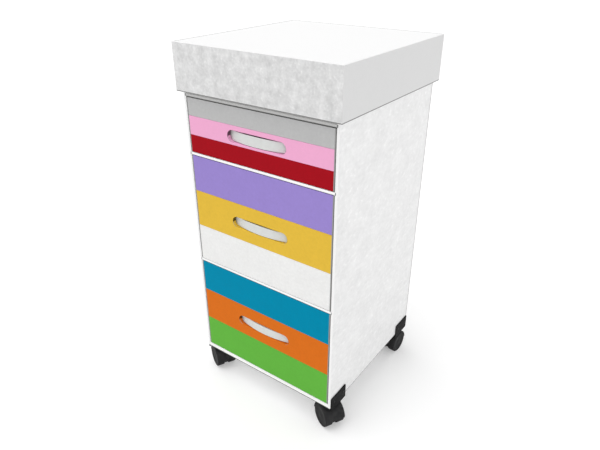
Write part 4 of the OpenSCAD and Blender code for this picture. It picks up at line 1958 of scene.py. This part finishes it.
@dataclass
class Studio:
    """The camera at the photograph's place, a pale floor and plain soft light."""

    camera_place: tuple[float, float, float] = (0.69154, -1.00684, 1.07797)
    camera_tilt: float = 62.108
    camera_turn: float = 35.824
    lens: float = 31.955
    sensor: float = 36.0
    clip: Point = (0.05, 100.0)
    floor_half: float = 30.0
    floor_colour: str = "#f3f3f3"
    floor_glow: float = 0.26
    glow_level: float = 1.15
    sky_level: float = 0.725
    lamps: tuple[Lamp, ...] = (
        Lamp("key lamp", strength=1.05, spread=50.0, height=65.0, heading=-35.0),
        Lamp("side fill", strength=0.3, spread=60.0, height=15.0, heading=68.0),
        Lamp("back light", strength=0.3, spread=40.0, height=55.0, heading=-120.0),
    )

    def build(self) -> None:
        """Places the camera, the floor, the lamps and the world."""
        self.build_camera()
        self.build_floor()
        for lamp in self.lamps:
            lamp.build()
        self.build_world()
        bpy.context.scene.view_settings.view_transform = "Standard"

    def build_camera(self) -> None:
        """Places the camera."""
        data = bpy.data.cameras.new("camera")
        data.lens = self.lens
        data.sensor_width = self.sensor
        data.clip_start, data.clip_end = self.clip
        camera = bpy.data.objects.new("camera", data)
        camera.location = self.camera_place
        camera.rotation_euler = (math.radians(self.camera_tilt), 0, math.radians(self.camera_turn))
        bpy.context.scene.collection.objects.link(camera)
        bpy.context.scene.camera = camera

    def build_floor(self) -> None:
        """Lays the floor, which shows itself white but for the object's shadow."""
        material, tree, shader = new_material("studio floor")
        shader.inputs["Roughness"].default_value = 1.0
        shader.inputs["Specular IOR Level"].default_value = 0.0
        seen = tree.seen_directly()
        colour = tree.mix_colours(seen, linear(self.floor_colour), WHITE)
        tree.join(colour, shader.inputs["Base Color"])
        glow = tree.node("ShaderNodeEmission", {"Strength": self.glow_level})
        share = tree.math("MULTIPLY", seen, self.floor_glow)
        surface = tree.mix_shaders(share, shader.outputs[0], glow.outputs[0])
        tree.join(surface, material.node_tree.nodes["Material Output"].inputs["Surface"])

        half = self.floor_half
        corners = rounded_rectangle((-half, -half), (half, half))
        mesh = bpy.data.meshes.new("floor")
        mesh.from_pydata([(x, y, 0) for x, y in corners], [], [(0, 1, 2, 3)])
        mesh.materials.append(material)
        floor = bpy.data.objects.new("floor", mesh)
        bpy.context.scene.collection.objects.link(floor)

    def build_world(self) -> None:
        """Lights the world evenly, and shows it as plain white."""
        world = bpy.data.worlds.new("studio")
        bpy.context.scene.world = world
        world.use_nodes = True
        world.node_tree.nodes.clear()
        tree = Tree(world.node_tree)
        light, white = (
            tree.node("ShaderNodeBackground", {"Color": WHITE, "Strength": level}).outputs[0]
            for level in (self.sky_level, 1.0)
        )
        tree.node("ShaderNodeOutputWorld", {"Surface": tree.mix_shaders(tree.seen_directly(), light, white)})


# ------------------------------------------------------------------ main


def main() -> None:
    """Builds the assemblies in order."""
    logging.basicConfig(level=logging.INFO, format="%(message)s")
    Studio().build()
    Cabinet().build()
    Lid().build()
    for seed, level in enumerate(Level, start=11):
        Drawer(level, seed).build()
    CasterMounts().build()
    for corner in Corner:
        Caster(corner).build()


if __name__ == "__main__":
    main()
